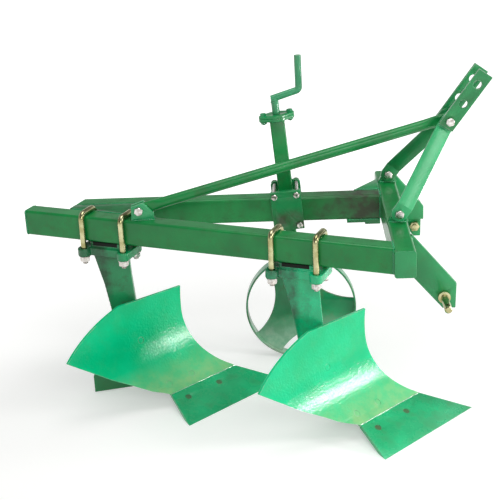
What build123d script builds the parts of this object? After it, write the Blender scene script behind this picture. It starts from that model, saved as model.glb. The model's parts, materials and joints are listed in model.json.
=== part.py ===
"""Two-furrow mounted moldboard plough for a small tractor's three-point linkage.

Millimetres.  +X is the direction of travel, +Y the land side (left), +Z up.
The origin is the middle of the bearing length of the right-hand lower hitch pin.
"""
import os
from math import acos, atan2, cos, degrees, hypot, radians, sin, tan

from build123d import *

os.makedirs("parts", exist_ok=True)

# ---------------------------------------------------------------- driving dimensions
# hitch: two lower pins on one axis, and two link holes in the mast
PIN_DIAMETER = 22.0
PIN_BEARING = 60.0            # length of each pin that the tractor's ball sits on
PIN_TAIL = 28.0               # pin beyond the bearing length, with the linch-pin hole
PIN_COLLAR_DIAMETER = 36.0
PIN_COLLAR = 14.0
LINCH_HOLE = 11.0
HITCH_PLATE = 16.0            # thickness of the lower hitch plates
HITCH_SPREAD = 600.0          # between the middles of the two hitch plates
HITCH_REACH = 94.0            # from the headstock's front face to the pin axis
HITCH_DROP = 192.0            # from the headstock's top face down to the pin axis
LEFT_PIN_SETBACK = 22.0       # left pin behind the right one, which turns the plough towards the land
HITCH_PLATE_AHEAD = (36.0, 23.0)    # right and left hitch plates' front edges, ahead of their pins
HITCH_SLOPE = 49.8            # front edge of a hitch plate, from level
HITCH_DOUBLER = 10.0          # plate inside the left hitch plate
HITCH_DOUBLER_AHEAD = 30.0    # and its front edge, ahead of the left pin
HITCH_DOUBLER_DROP = 167.0    # headstock's top face to the doubler's lower edge
PIN_NUT = (17.0, 16.0)        # across-corners radius and height of the nut on a hitch pin
PIN_CHAMFER = 3.0
PIN_THREAD = 8.0              # thread beyond the nut
HITCH_TOE = 38.0              # hitch plate below its pin's axis
HITCH_HEEL = 125.0            # rear edge's height at the headstock, below its top face
LINK_HOLE = 25.5              # top-link holes in the mast plates
LINK_HOLE_HEIGHTS = (64.0, 133.0)   # along the mast, from its foot bolt

# frame tubes
TUBE_WIDTH = 60.0
TUBE_HEIGHT = 80.0
TUBE_WALL = 5.0
TUBE_CORNER = 8.0
END_CAP = 5.0                 # plates that close the open ends of the tubes
HEADSTOCK_OVERHANG = 136.0    # headstock beyond the middle of the right hitch plate
MAIN_BEAM_INSET = 24.0        # main beam from the headstock's right end
MAIN_BEAM_ANGLE = 20.8        # main beam from the direction of travel
MAIN_BEAM_LENGTH = 1197.0
SIDE_BEAM_INSET = 492.0       # side beam from the headstock's right end
SIDE_BEAM_END = 1066.0        # along the main beam to where the side beam is cut off
WEDGE_FRONT = 800.0           # along the main beam to the front of the corner wedge
WEDGE_PLATE = 8.0
GUSSET = 10.0
GUSSET_REACH = (80.0, 108.0)  # top gusset along the side beam, and along the headstock
UNDER_PLATE = (105.0, 12.0)   # plate under the side beam: length and thickness
UNDER_PACKER = (48.0, 6.0)    # packer under that plate's front end: length and thickness

# A-frame and mast
EAR = 12.0
# side outline of an ear: from the headstock's rear face, and above its top face
EAR_OUTLINE = ((2.0, 0.0), (58.0, 0.0), (58.0, 26.0), (44.0, 54.0), (30.0, 50.0))
EAR_BOLT_HEIGHT = 27.0        # above the headstock's top face
EAR_BOLT_AHEAD = 35.0         # ahead of the headstock's rear face
RIGHT_EAR_INSET = 245.0
LEFT_EAR_INSET = 628.0
BAR_WIDTH = 48.0
BAR_THICKNESS = 10.0
BAR_TAB = 29.0                # straight tab between bolt and bend
MAST_FOOT_AHEAD = 199.0       # mast foot bolt ahead of the headstock's rear face
MAST_FOOT_HEIGHT = 255.0      # and above its top face
MAST_LENGTH = 174.0           # mast plate above the foot bolt
MAST_GAP = 70.0
MAST_PLATE = 10.0
MAST_BELOW = 22.0             # mast plate below the foot bolt
FRAME_BOLT = 16.0             # bolts of the A-frame
BOLT_HOLE = 0.5               # bolt hole beyond the bolt, all round
FRAME_BOLT_HEAD = 10.0
FRAME_BOLT_NUT = 13.0
HEX = 0.85                    # across-corners radius of hex heads and nuts, as a share of the bolt's diameter
SLEEVE_WALL = 6.0
BRACE_DIAMETER = 32.0
BRACE_FLAT = 12.0
BRACE_FOOT = 805.0            # along the main beam to the brace's rear bolt
BRACE_FOOT_HEIGHT = 30.0
BRACE_EYE = 34.0              # width of the flattened ends
BRACE_FLAT_LENGTH = 60.0
CLEVIS_GAP = 1.0              # brace in its clevis
CLEVIS_PLATE = 8.0
CLEVIS_BASE = (68.0, 6.0)     # length and thickness of the clevis's base plate
# side outline of a clevis ear: ahead of its bolt, and above the beam
CLEVIS_OUTLINE = ((-22.0, 0.0), (46.0, 0.0), (46.0, 20.0), (16.0, 54.0), (-22.0, 42.0))

# plough bodies
FLOOR_DROP = 428.0            # pin axis above the floor when the plough is parked
BODY_SPACING = 624.0          # along the main beam, from one body to the next
UBOLT_POSITIONS = (225.0, 361.0)    # front body's U-bolts, along the main beam
UBOLT_ROD = 18.0
UBOLT_CLEARANCE = 0.8         # between a U-bolt and the beam inside it
UBOLT_BEND = 19.0
UBOLT_WASHER = 3.0
UBOLT_NUT = 15.0
UBOLT_THREAD = 8.0            # thread below the nut
SHARE_ANGLE = 45.0            # share edge from the direction of travel
SHARE_TIP = (263.5, 235.0)    # front share's tip: ahead of the headstock's rear face, and from its right end
SHARE_EDGE = 416.0
SHARE_BACK = 129.0            # share edge to seam, measured level
SHARE_SEAM = (103.0, 377.0)   # the seam's two ends, along the edge
SHARE_RISE = 47.0
SHARE_THICKNESS = 12.0
SEAM_GAP = 1.0
# moldboard's outline, as (along the edge, height): its shin, and its wing's end, are arcs
MOLDBOARD_SHIN = ((187.0, 129.0), (217.0, 250.0))
MOLDBOARD_TOP = ((213.0, 335.0), (462.0, 345.0))
MOLDBOARD_WING = ((573.0, 298.0), (673.0, 226.0))
MOLDBOARD_LOW_EDGE = ((543.0, 134.0), (429.0, 67.0))
MOLDBOARD_THICKNESS = 8.0
MOLDBOARD_FOOT_SLOPE = 30.0   # slope of the moldboard at its seam
MOLDBOARD_LOWER = (200.0, 60.0)     # radius of the lower arc, slope where it ends
MOLDBOARD_UPPER = (365.0, 98.0)     # radius of the upper arc, slope where it ends
LANDSIDE_THICKNESS = 14.0
LANDSIDE_HEIGHT = 80.0
LANDSIDE_TURN = 6.0           # landside from the headstock's normal, towards the land going forward
# heel, on the furrow face: ahead of the headstock's rear face, and from its right end
LANDSIDE_HEEL = (-360.0, 177.0)
LANDSIDE_STARTS = (230.0, 0.0)      # front body's short landside and the rear body's long one
LANDSIDE_LENGTH = 382.0
LANDSIDE_RISE = 12.0          # clear of the floor ahead of the heel
LANDSIDE_PAD = (-120.0, -50.0)      # leg's pad on the landside: its rear and front ends
PAD_LOW = 20.0                # leg's pad above the floor
PAD_HEIGHT = 56.0
# frog: a curved casting behind the share and the moldboard, outlined as (along the edge, height)
FROG_GAP = 0.3
FROG_THICKNESS = 18.0
FROG_TOP_SLOPE = 80.0
FROG_FOOT = (70.0, 150.0, 6.0)      # front and rear of its foot, back from the edge, and its height
FROG_OUTLINE = (
    (150.0, 0.0), (300.0, 0.0), (345.0, 25.0), (365.0, 60.0), (385.0, 130.0), (425.0, 175.0),
    (425.0, 235.0), (240.0, 235.0), (220.0, 140.0), (190.0, 95.0), (165.0, 60.0), (150.0, 40.0),
)
# leg: its blade, outlined as (ahead of the headstock's rear face, up from its top face)
LEG_REAR = (
    (-289.0, -223.0), (-272.0, -327.0), (-272.0, -400.0), (-252.0, -470.0), (-205.0, -540.0),
    (-165.0, -585.0), (-120.0, -600.0),
)
LEG_FRONT = (
    (-40.0, -600.0), (-90.0, -540.0), (-150.0, -460.0), (-190.0, -360.0), (-197.0, -268.0),
    (-202.0, -194.0),
)
LEG_HEAD = (-313.0, -205.0)   # rear and front of the blade where it meets the head plate
LEG_THICKNESS = 26.0
LEG_INSET = 156.0             # blade's middle from the headstock's right end
FLANGE_THICKNESS = 26.0
FLANGE_PAD = 18.0
LUG_RADIUS = 20.0
# plough bolts: flat heads let in flush with the face
BOLT_HEAD = (20.0, 4.0)       # diameter and depth of a head
BOLT_SHANK = 12.0
BOLT_CLEARANCE = 0.3
BOLT_REACH = 20.0             # shank below the head
SHARE_BOLTS = ((203.0, 97.0), (335.0, 96.0))                  # along the edge, back from it
MOLDBOARD_BOLTS = ((263.0, 40.4), (357.0, 40.4), (396.0, 75.1))   # along the edge, slope there

# gauge wheel unit
WHEEL_POST_AHEAD = -296.7     # post axis at the headstock's top level, from its rear face
POST_LEAN = 5.0               # top of the post leans back
POST_SIZE = 46.0
POST_WALL = 5.0
POST_CORNER = 4.0
POST_ABOVE = 240.0
POST_BELOW = 112.0
CLAMP_PLATE = 12.0
CLAMP_BOLT = 12.0
CLAMP_BOLT_GAP = 6.0          # between a clamp bolt and the post's side
CLAMP_BEAM_GAP = 1.5          # between a clamp bolt and the beam's top or bottom face
CLAMP_EDGE = 13.0             # clamp plate beyond its bolts' axes
CLAMP_BACK_EDGE = 9.0         # back plate beyond its upper bolts' axes
CLAMP_CORNER = 9.0            # chamfer on the back plate's upper corners
CLAMP_NUT = 10.0
LEG_CLEARANCE = 0.8           # inner leg in the post, each side
LEG_RISE = 40.0               # inner leg's top above the headstock's top level
SCREW_DIAMETER = 20.0
SCREW_CLEARANCE = 0.5
SCREW_BELOW = 60.0            # screw's lower end, below the headstock's top level
SCREW_COLLAR = (5.0, 12.0)    # collar below the cap: beyond the screw all round, and its height
CRANK_STUB_DIAMETER = 24.0    # screw's plain end above the cap
CRANK_PLAY = 1.0              # collar and plain end from the cap's faces
CRANK_CLEARANCE = 0.06
SCREW_BORE = 300.0            # inner leg's bore, below the headstock's top level
CRANK_ROD = 22.0
CRANK_STUB = 300.0            # crank arm's level at the screw, above the headstock's top level
CRANK_ARM = 79.0
CRANK_RISE = 17.0             # arm's outer end above its inner end
CRANK_GRIP = 108.0
CRANK_GRIP_OUT = 8.0          # grip's top leans out by this much
CRANK_BEND = 13.0
FLANGE_PLATE = 9.0
EAR_GAP = 20.0                # flange's ear bolts from the post's side
EAR_TURN = 13.0
EAR_RADIUS = 14.0
EAR_BOLT_DIAMETER = 12.0
EAR_BOLT_HEAD = 8.0
FLANGE_MARGIN = 4.5           # flange's disc beyond the post's corners
WHEEL_DIAMETER = 372.0
WHEEL_WIDTH = 40.0
WHEEL_WALL = 6.0
AXLE_DIAMETER = 20.0
AXLE_CLEARANCE = 0.05
AXLE_SHOULDER = 5.0
AXLE_WASHER = 3.5
AXLE_END_PLAY = 0.5
AXLE_HEAD = 12.0
AXLE_NUT = 14.0
AXLE_HEX = 0.8                # across-corners radius, as a share of the axle's diameter
LEG_BELOW_AXLE = 26.0
HUB_DIAMETER = 44.0
HUB_LENGTH = 54.0
WEB_THICKNESS = 8.0
WEB_ARC_RADIUS = 200.0
WEB_ARC_OFFSET = 290.0
WEB_START = -50.0             # turn of the first opening in the wheel's web

# ---------------------------------------------------------------- places worked out from them
COLLAR_FACE = PIN_BEARING / 2                       # y of the right pin's collar face
RIGHT_PLATE_Y = COLLAR_FACE + PIN_COLLAR + HITCH_PLATE / 2
LEFT_PLATE_Y = RIGHT_PLATE_Y + HITCH_SPREAD
HEAD_RIGHT = RIGHT_PLATE_Y - HEADSTOCK_OVERHANG     # headstock's right end
HEAD_LEFT = LEFT_PLATE_Y + HITCH_PLATE / 2
HEAD_REAR = -HITCH_REACH - TUBE_WIDTH
HEAD_FRONT = -HITCH_REACH
HEAD_TOP = HITCH_DROP
HEAD_BOTTOM = HEAD_TOP - TUBE_HEIGHT
FLOOR = -FLOOR_DROP
UBOLT_ACROSS = UBOLT_ROD / 2 + UBOLT_CLEARANCE      # U-bolt leg's middle from the beam's face

BEAM_COS, BEAM_SIN = cos(radians(MAIN_BEAM_ANGLE)), sin(radians(MAIN_BEAM_ANGLE))
# main beam's own axes: x forward along the beam, y to its land side, z up; the origin is where
# its right-hand top edge meets the headstock
BEAM = Plane(
    origin=(HEAD_REAR, HEAD_RIGHT + MAIN_BEAM_INSET, HEAD_TOP),
    x_dir=(BEAM_COS, -BEAM_SIN, 0),
    z_dir=(0, 0, 1),
)
SIDE_RIGHT = HEAD_RIGHT + SIDE_BEAM_INSET
SIDE_LEFT = SIDE_RIGHT + TUBE_WIDTH
HEAD_REAR_PLANE = Plane(origin=(HEAD_REAR, 0, 0), z_dir=(-1, 0, 0))


def beam_plane(back, across, up):
    """The main beam's axes, moved back along it, across it and up."""
    return Plane(
        origin=BEAM.from_local_coords((-back, across, up)),
        x_dir=BEAM.x_dir,
        z_dir=BEAM.z_dir,
    )


def save(part, name):
    """Label a finished piece and write it under its own name."""
    part.label = name
    export_step(part, f"parts/{name}.step")


# ---------------------------------------------------------------- frame tubes
def tube_section(width, height, wall, corner):
    """A hollow rectangular section centred on the sketch's origin."""
    RectangleRounded(width, height, corner)
    RectangleRounded(width - 2 * wall, height - 2 * wall, max(corner - wall, 1.0), mode=Mode.SUBTRACT)


# the headstock's sections look along +Y, from its right end
HEAD_SECTION = Plane(
    origin=((HEAD_REAR + HEAD_FRONT) / 2, HEAD_RIGHT, (HEAD_TOP + HEAD_BOTTOM) / 2),
    x_dir=(-1, 0, 0),
    z_dir=(0, 1, 0),
)
head_length = HEAD_LEFT - HEAD_RIGHT
with BuildPart() as headstock_tube:
    with BuildSketch(HEAD_SECTION.offset(END_CAP)):
        tube_section(TUBE_WIDTH, TUBE_HEIGHT, TUBE_WALL, TUBE_CORNER)
    extrude(amount=head_length - 2 * END_CAP)
save(headstock_tube.part, "headstock_tube")

with BuildPart() as headstock_end_caps:
    for level in (0, head_length - END_CAP):
        with BuildSketch(HEAD_SECTION.offset(level)):
            RectangleRounded(TUBE_WIDTH, TUBE_HEIGHT, TUBE_CORNER)
        extrude(amount=END_CAP)
save(headstock_end_caps.part, "headstock_end_caps")

# the main beam runs past the headstock's rear face and is cut off flush with it
beam_start = beam_plane(MAIN_BEAM_LENGTH, TUBE_WIDTH / 2, -TUBE_HEIGHT / 2)
BEAM_SECTION = Plane(origin=beam_start.origin, x_dir=BEAM.y_dir, z_dir=BEAM.x_dir)
with BuildPart() as main_beam:
    with BuildSketch(BEAM_SECTION.offset(END_CAP)):
        tube_section(TUBE_WIDTH, TUBE_HEIGHT, TUBE_WALL, TUBE_CORNER)
    extrude(amount=MAIN_BEAM_LENGTH + TUBE_WIDTH)
    split(bisect_by=HEAD_REAR_PLANE, keep=Keep.TOP)
save(main_beam.part, "main_beam")

# the side beam lies square to the headstock and is cut off square to the main beam
SIDE_SECTION = Plane(
    origin=(HEAD_REAR, (SIDE_RIGHT + SIDE_LEFT) / 2, (HEAD_TOP + HEAD_BOTTOM) / 2),
    x_dir=(0, 1, 0),
    z_dir=(-1, 0, 0),
)
side_reach = SIDE_BEAM_END / BEAM_COS + TUBE_WIDTH
side_cut = Plane(origin=beam_plane(SIDE_BEAM_END, 0, 0).origin, z_dir=BEAM.x_dir)
with BuildPart() as side_beam:
    with BuildSketch(SIDE_SECTION):
        tube_section(TUBE_WIDTH, TUBE_HEIGHT, TUBE_WALL, TUBE_CORNER)
    extrude(amount=side_reach)
    split(bisect_by=side_cut.offset(END_CAP), keep=Keep.TOP)
save(side_beam.part, "side_beam")

with BuildPart() as beam_end_caps:
    with BuildSketch(SIDE_SECTION):
        RectangleRounded(TUBE_WIDTH, TUBE_HEIGHT, TUBE_CORNER)
    extrude(amount=side_reach)
    split(bisect_by=side_cut, keep=Keep.TOP)
    split(bisect_by=side_cut.offset(END_CAP), keep=Keep.BOTTOM)
    with BuildSketch(BEAM_SECTION):
        RectangleRounded(TUBE_WIDTH, TUBE_HEIGHT, TUBE_CORNER)
    extrude(amount=END_CAP)
save(beam_end_caps.part, "beam_end_caps")

# a wedge of plates closes the sharp corner between the two beams at the rear: top, bottom and
# rear plates, with holes where the rear body's U-bolts pass
rear_point = BEAM.from_local_coords((-SIDE_BEAM_END, TUBE_WIDTH, 0))
front_point = BEAM.from_local_coords((-WEDGE_FRONT, TUBE_WIDTH, 0))
wedge_run = (SIDE_RIGHT - rear_point.Y) / BEAM_COS * BEAM_SIN
with BuildPart() as beam_corner_wedge:
    with BuildSketch(Plane.XY.offset(HEAD_BOTTOM)):
        with BuildLine():
            Polyline(
                (rear_point.X, rear_point.Y),
                (rear_point.X + wedge_run, SIDE_RIGHT),
                (front_point.X, SIDE_RIGHT),
                (front_point.X, front_point.Y),
                close=True,
            )
        make_face()
    extrude(amount=TUBE_HEIGHT)
    inside = beam_plane(SIDE_BEAM_END - WEDGE_PLATE, TUBE_WIDTH, WEDGE_PLATE - TUBE_HEIGHT)
    with BuildSketch(inside):
        with Locations((SIDE_BEAM_END / 2, 0)):
            Rectangle(SIDE_BEAM_END, HEAD_LEFT)
    extrude(amount=TUBE_HEIGHT - 2 * WEDGE_PLATE, mode=Mode.SUBTRACT)
    for along in UBOLT_POSITIONS:
        with BuildSketch(beam_plane(along + BODY_SPACING, TUBE_WIDTH + UBOLT_ACROSS - 1, -TUBE_HEIGHT)):
            Circle(UBOLT_ROD / 2 + 2)
        extrude(amount=TUBE_HEIGHT, mode=Mode.SUBTRACT)
save(beam_corner_wedge.part, "beam_corner_wedge")

# corner plates where the side beam meets the headstock
with BuildPart() as side_beam_top_gusset:
    with BuildSketch(Plane.XY.offset(HEAD_TOP - GUSSET)):
        with BuildLine():
            Polyline(
                (HEAD_REAR, SIDE_LEFT),
                (HEAD_REAR - GUSSET_REACH[0], SIDE_LEFT),
                (HEAD_REAR, SIDE_LEFT + GUSSET_REACH[1]),
                close=True,
            )
        make_face()
    extrude(amount=GUSSET)
save(side_beam_top_gusset.part, "side_beam_top_gusset")

# the under plate's side outline steps down over the packer
under_plane = Plane(
    origin=(HEAD_REAR, (SIDE_RIGHT + SIDE_LEFT) / 2, HEAD_BOTTOM), x_dir=(1, 0, 0), z_dir=(0, -1, 0)
)
with BuildPart() as side_beam_under_plate:
    with BuildSketch(under_plane):
        with BuildLine():
            Polyline(
                (0, 0),
                (-UNDER_PLATE[0], 0),
                (-UNDER_PLATE[0], -UNDER_PLATE[1]),
                (-UNDER_PACKER[0], -UNDER_PLATE[1]),
                (-UNDER_PACKER[0], -UNDER_PLATE[1] - UNDER_PACKER[1]),
                (0, -UNDER_PLATE[1] - UNDER_PACKER[1]),
                close=True,
            )
        make_face()
    extrude(amount=TUBE_WIDTH / 2 - 4, both=True)
save(side_beam_under_plate.part, "side_beam_under_plate")

# ---------------------------------------------------------------- lower hitch
def XZ_AT_Y(y):
    """Sketch plane seen from the right-hand side, x forward and y up."""
    return Plane(origin=(0, y, 0), x_dir=(1, 0, 0), z_dir=(0, -1, 0))


def slope_z(x):
    """Height of a hitch plate's sloping front edge at this x."""
    return HEAD_TOP - (x - HEAD_FRONT) * tan(radians(HITCH_SLOPE))


PLATE_HEEL = HEAD_TOP - HITCH_HEEL
for side, plate_y, outward, pin_x, ahead in (
    ("right", RIGHT_PLATE_Y, -1, 0, HITCH_PLATE_AHEAD[0]),
    ("left", LEFT_PLATE_Y, 1, -LEFT_PIN_SETBACK, HITCH_PLATE_AHEAD[1]),
):
    with BuildPart() as hitch_plate:
        with BuildSketch(XZ_AT_Y(plate_y)):
            with BuildLine():
                Polyline(
                    (HEAD_FRONT, HEAD_TOP),
                    (pin_x + ahead, slope_z(pin_x + ahead)),
                    (pin_x + ahead - 2, -HITCH_TOE),
                    (pin_x - 3, -HITCH_TOE),
                    (HEAD_FRONT, PLATE_HEEL),
                    close=True,
                )
            make_face()
            with Locations((pin_x, 0)):
                Circle(PIN_DIAMETER / 2, mode=Mode.SUBTRACT)
        extrude(amount=HITCH_PLATE / 2, both=True)
    save(hitch_plate.part, f"{side}_hitch_plate")

    # pin: threaded end and nut on the inner side, collar, bearing length, tail with a hole
    face = plate_y + outward * HITCH_PLATE / 2
    pin_plane = Plane(origin=(pin_x, face, 0), x_dir=(1, 0, 0), z_dir=(0, outward, 0))
    with BuildPart() as hitch_pin:
        with BuildSketch(pin_plane):
            Circle(PIN_COLLAR_DIAMETER / 2)
        extrude(amount=PIN_COLLAR)
        with BuildSketch(pin_plane.offset(-HITCH_PLATE)):
            Circle(PIN_DIAMETER / 2)
        extrude(amount=HITCH_PLATE + PIN_COLLAR + PIN_BEARING + PIN_TAIL)
        pin_tip = hitch_pin.faces().sort_by(Axis((0, 0, 0), (0, outward, 0)))[-1]
        chamfer(pin_tip.edges(), length=PIN_CHAMFER)
        with BuildSketch(pin_plane.offset(-HITCH_PLATE)):
            RegularPolygon(PIN_NUT[0], 6)
        extrude(amount=-PIN_NUT[1])
        with BuildSketch(pin_plane.offset(-HITCH_PLATE - PIN_NUT[1])):
            Circle(PIN_DIAMETER / 2 - 1)
        extrude(amount=-PIN_THREAD)
        hole_y = face + outward * (PIN_COLLAR + PIN_BEARING + PIN_TAIL / 2)
        with BuildSketch(Plane(origin=(pin_x, hole_y, 0), z_dir=(0, 0, 1))):
            Circle(LINCH_HOLE / 2)
        extrude(amount=PIN_DIAMETER, both=True, mode=Mode.SUBTRACT)
    save(hitch_pin.part, f"{side}_hitch_pin")

# the left plate has a shorter doubler on its inner side, cut off level above the pin's nut
doubler_front = HITCH_DOUBLER_AHEAD - LEFT_PIN_SETBACK
doubler_low = HEAD_TOP - HITCH_DOUBLER_DROP
doubler_heel = HEAD_FRONT + (PLATE_HEEL - doubler_low) * (-LEFT_PIN_SETBACK - 3 - HEAD_FRONT) / (
    PLATE_HEEL + HITCH_TOE
)
with BuildPart() as left_hitch_doubler:
    with BuildSketch(XZ_AT_Y(LEFT_PLATE_Y - HITCH_PLATE / 2)):
        with BuildLine():
            Polyline(
                (HEAD_FRONT, HEAD_TOP),
                (doubler_front, slope_z(doubler_front)),
                (doubler_front, doubler_low),
                (doubler_heel, doubler_low),
                (HEAD_FRONT, PLATE_HEEL),
                close=True,
            )
        make_face()
    extrude(amount=HITCH_DOUBLER)
save(left_hitch_doubler.part, "left_hitch_doubler")

# ---------------------------------------------------------------- A-frame and mast
EAR_BOLT = Vector(HEAD_REAR + EAR_BOLT_AHEAD, 0, HEAD_TOP + EAR_BOLT_HEIGHT)
MAST_FOOT = Vector(HEAD_REAR + MAST_FOOT_AHEAD, 0, HEAD_TOP + MAST_FOOT_HEIGHT)
BAR_RUN = (MAST_FOOT - EAR_BOLT).length
BAR_DIR = (MAST_FOOT - EAR_BOLT) / BAR_RUN
BAR_NORMAL = Vector(-BAR_DIR.Z, 0, BAR_DIR.X)
MAST_Y = (RIGHT_PLATE_Y + LEFT_PLATE_Y) / 2
RIGHT_EAR_Y = HEAD_RIGHT + RIGHT_EAR_INSET
LEFT_EAR_Y = HEAD_RIGHT + LEFT_EAR_INSET
tab_offset = EAR / 2 + BAR_THICKNESS / 2

for side, ear_y in (("right", RIGHT_EAR_Y), ("left", LEFT_EAR_Y)):
    with BuildPart() as mast_ear:
        with BuildSketch(XZ_AT_Y(ear_y)):
            with BuildLine():
                Polyline(*[(HEAD_REAR + ahead, HEAD_TOP + up) for ahead, up in EAR_OUTLINE], close=True)
            make_face()
            with Locations((EAR_BOLT.X, EAR_BOLT.Z)):
                Circle(FRAME_BOLT / 2 + BOLT_HOLE, mode=Mode.SUBTRACT)
        extrude(amount=EAR / 2, both=True)
    save(mast_ear.part, f"{side}_mast_ear")


def bar_plane(y):
    """Sketch plane whose x runs up a bar, seen square to the bar's flat width."""
    return Plane(origin=(EAR_BOLT.X, y, EAR_BOLT.Z), x_dir=BAR_DIR, z_dir=(0, -1, 0))


# each bar: a tab at the ear, a slanting run, and a tab inside the mast plate
for side, foot_y, top_y in (
    ("right", RIGHT_EAR_Y - tab_offset, MAST_Y - MAST_GAP / 2 + BAR_THICKNESS / 2),
    ("left", LEFT_EAR_Y - tab_offset, MAST_Y + MAST_GAP / 2 - BAR_THICKNESS / 2),
):
    half = BAR_THICKNESS / 2
    strip_plane = Plane(origin=(EAR_BOLT.X, 0, EAR_BOLT.Z), x_dir=BAR_DIR, z_dir=BAR_NORMAL * -1)
    with BuildPart() as mast_bar:
        with BuildSketch(strip_plane) as strip:
            local = strip.workplanes[0]
            flip = local.y_dir.Y
            stations = [
                (-BAR_WIDTH / 2, foot_y),
                (BAR_TAB, foot_y),
                (BAR_RUN - BAR_TAB, top_y),
                (BAR_RUN + BAR_WIDTH / 2, top_y),
            ]
            with BuildLine():
                Polyline(
                    *[(run, flip * (y + half)) for run, y in stations],
                    *[(run, flip * (y - half)) for run, y in reversed(stations)],
                    close=True,
                )
            make_face()
        extrude(amount=BAR_WIDTH / 2, both=True)
        # rounded ends and bolt holes
        with BuildSketch(bar_plane(0)):
            with Locations((BAR_RUN / 2, 0)):
                SlotOverall(BAR_RUN + BAR_WIDTH, BAR_WIDTH)
            with Locations((0, 0), (BAR_RUN, 0)):
                Circle(FRAME_BOLT / 2 + BOLT_HOLE, mode=Mode.SUBTRACT)
        extrude(amount=HEAD_LEFT + 200, both=True, mode=Mode.INTERSECT)
    save(mast_bar.part, f"{side}_mast_bar")

for side, plate_y in (
    ("right", MAST_Y - MAST_GAP / 2 - MAST_PLATE / 2),
    ("left", MAST_Y + MAST_GAP / 2 + MAST_PLATE / 2),
):
    with BuildPart() as mast_plate:
        with BuildSketch(Plane(origin=(MAST_FOOT.X, plate_y, MAST_FOOT.Z), x_dir=BAR_DIR, z_dir=(0, -1, 0))):
            with Locations(((MAST_LENGTH - MAST_BELOW) / 2, 0)):
                Rectangle(MAST_LENGTH + MAST_BELOW, BAR_WIDTH)
            with Locations(*[(height, 0) for height in LINK_HOLE_HEIGHTS]):
                Circle(LINK_HOLE / 2, mode=Mode.SUBTRACT)
            Circle(FRAME_BOLT / 2 + BOLT_HOLE, mode=Mode.SUBTRACT)
        extrude(amount=MAST_PLATE / 2, both=True)
    save(mast_plate.part, f"{side}_mast_plate")


def cross_bolt(x, z, low_y, high_y):
    """A bolt along Y: shank with a head at its low end and a nut at its high end."""
    with BuildPart() as bolt:
        with BuildSketch(Plane(origin=(x, low_y, z), x_dir=(1, 0, 0), z_dir=(0, 1, 0))):
            Circle(FRAME_BOLT / 2)
        extrude(amount=high_y - low_y)
        with BuildSketch(Plane(origin=(x, low_y, z), x_dir=(1, 0, 0), z_dir=(0, 1, 0))):
            RegularPolygon(FRAME_BOLT * HEX, 6)
        extrude(amount=-FRAME_BOLT_HEAD)
        with BuildSketch(Plane(origin=(x, high_y, z), x_dir=(1, 0, 0), z_dir=(0, 1, 0))):
            RegularPolygon(FRAME_BOLT * HEX, 6)
        extrude(amount=FRAME_BOLT_NUT)
    return bolt.part


for side, ear_y in (("right", RIGHT_EAR_Y), ("left", LEFT_EAR_Y)):
    save(
        cross_bolt(EAR_BOLT.X, EAR_BOLT.Z, ear_y - EAR / 2 - BAR_THICKNESS, ear_y + EAR / 2),
        f"{side}_ear_bolt",
    )
mast_outer = MAST_GAP / 2 + MAST_PLATE
save(cross_bolt(MAST_FOOT.X, MAST_FOOT.Z, MAST_Y - mast_outer, MAST_Y + mast_outer), "mast_foot_bolt")

# two sleeves on the foot bolt hold the brace's eye midway between the bars
sleeve_inner = MAST_GAP / 2 - BAR_THICKNESS
with BuildPart() as mast_sleeves:
    for sign in (-1, 1):
        with BuildSketch(
            Plane(
                origin=(MAST_FOOT.X, MAST_Y + sign * BRACE_FLAT / 2, MAST_FOOT.Z),
                x_dir=(1, 0, 0),
                z_dir=(0, sign, 0),
            )
        ):
            Circle(FRAME_BOLT / 2 + SLEEVE_WALL)
            Circle(FRAME_BOLT / 2 + BOLT_HOLE, mode=Mode.SUBTRACT)
        extrude(amount=sleeve_inner - BRACE_FLAT / 2)
save(mast_sleeves.part, "mast_sleeves")

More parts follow.
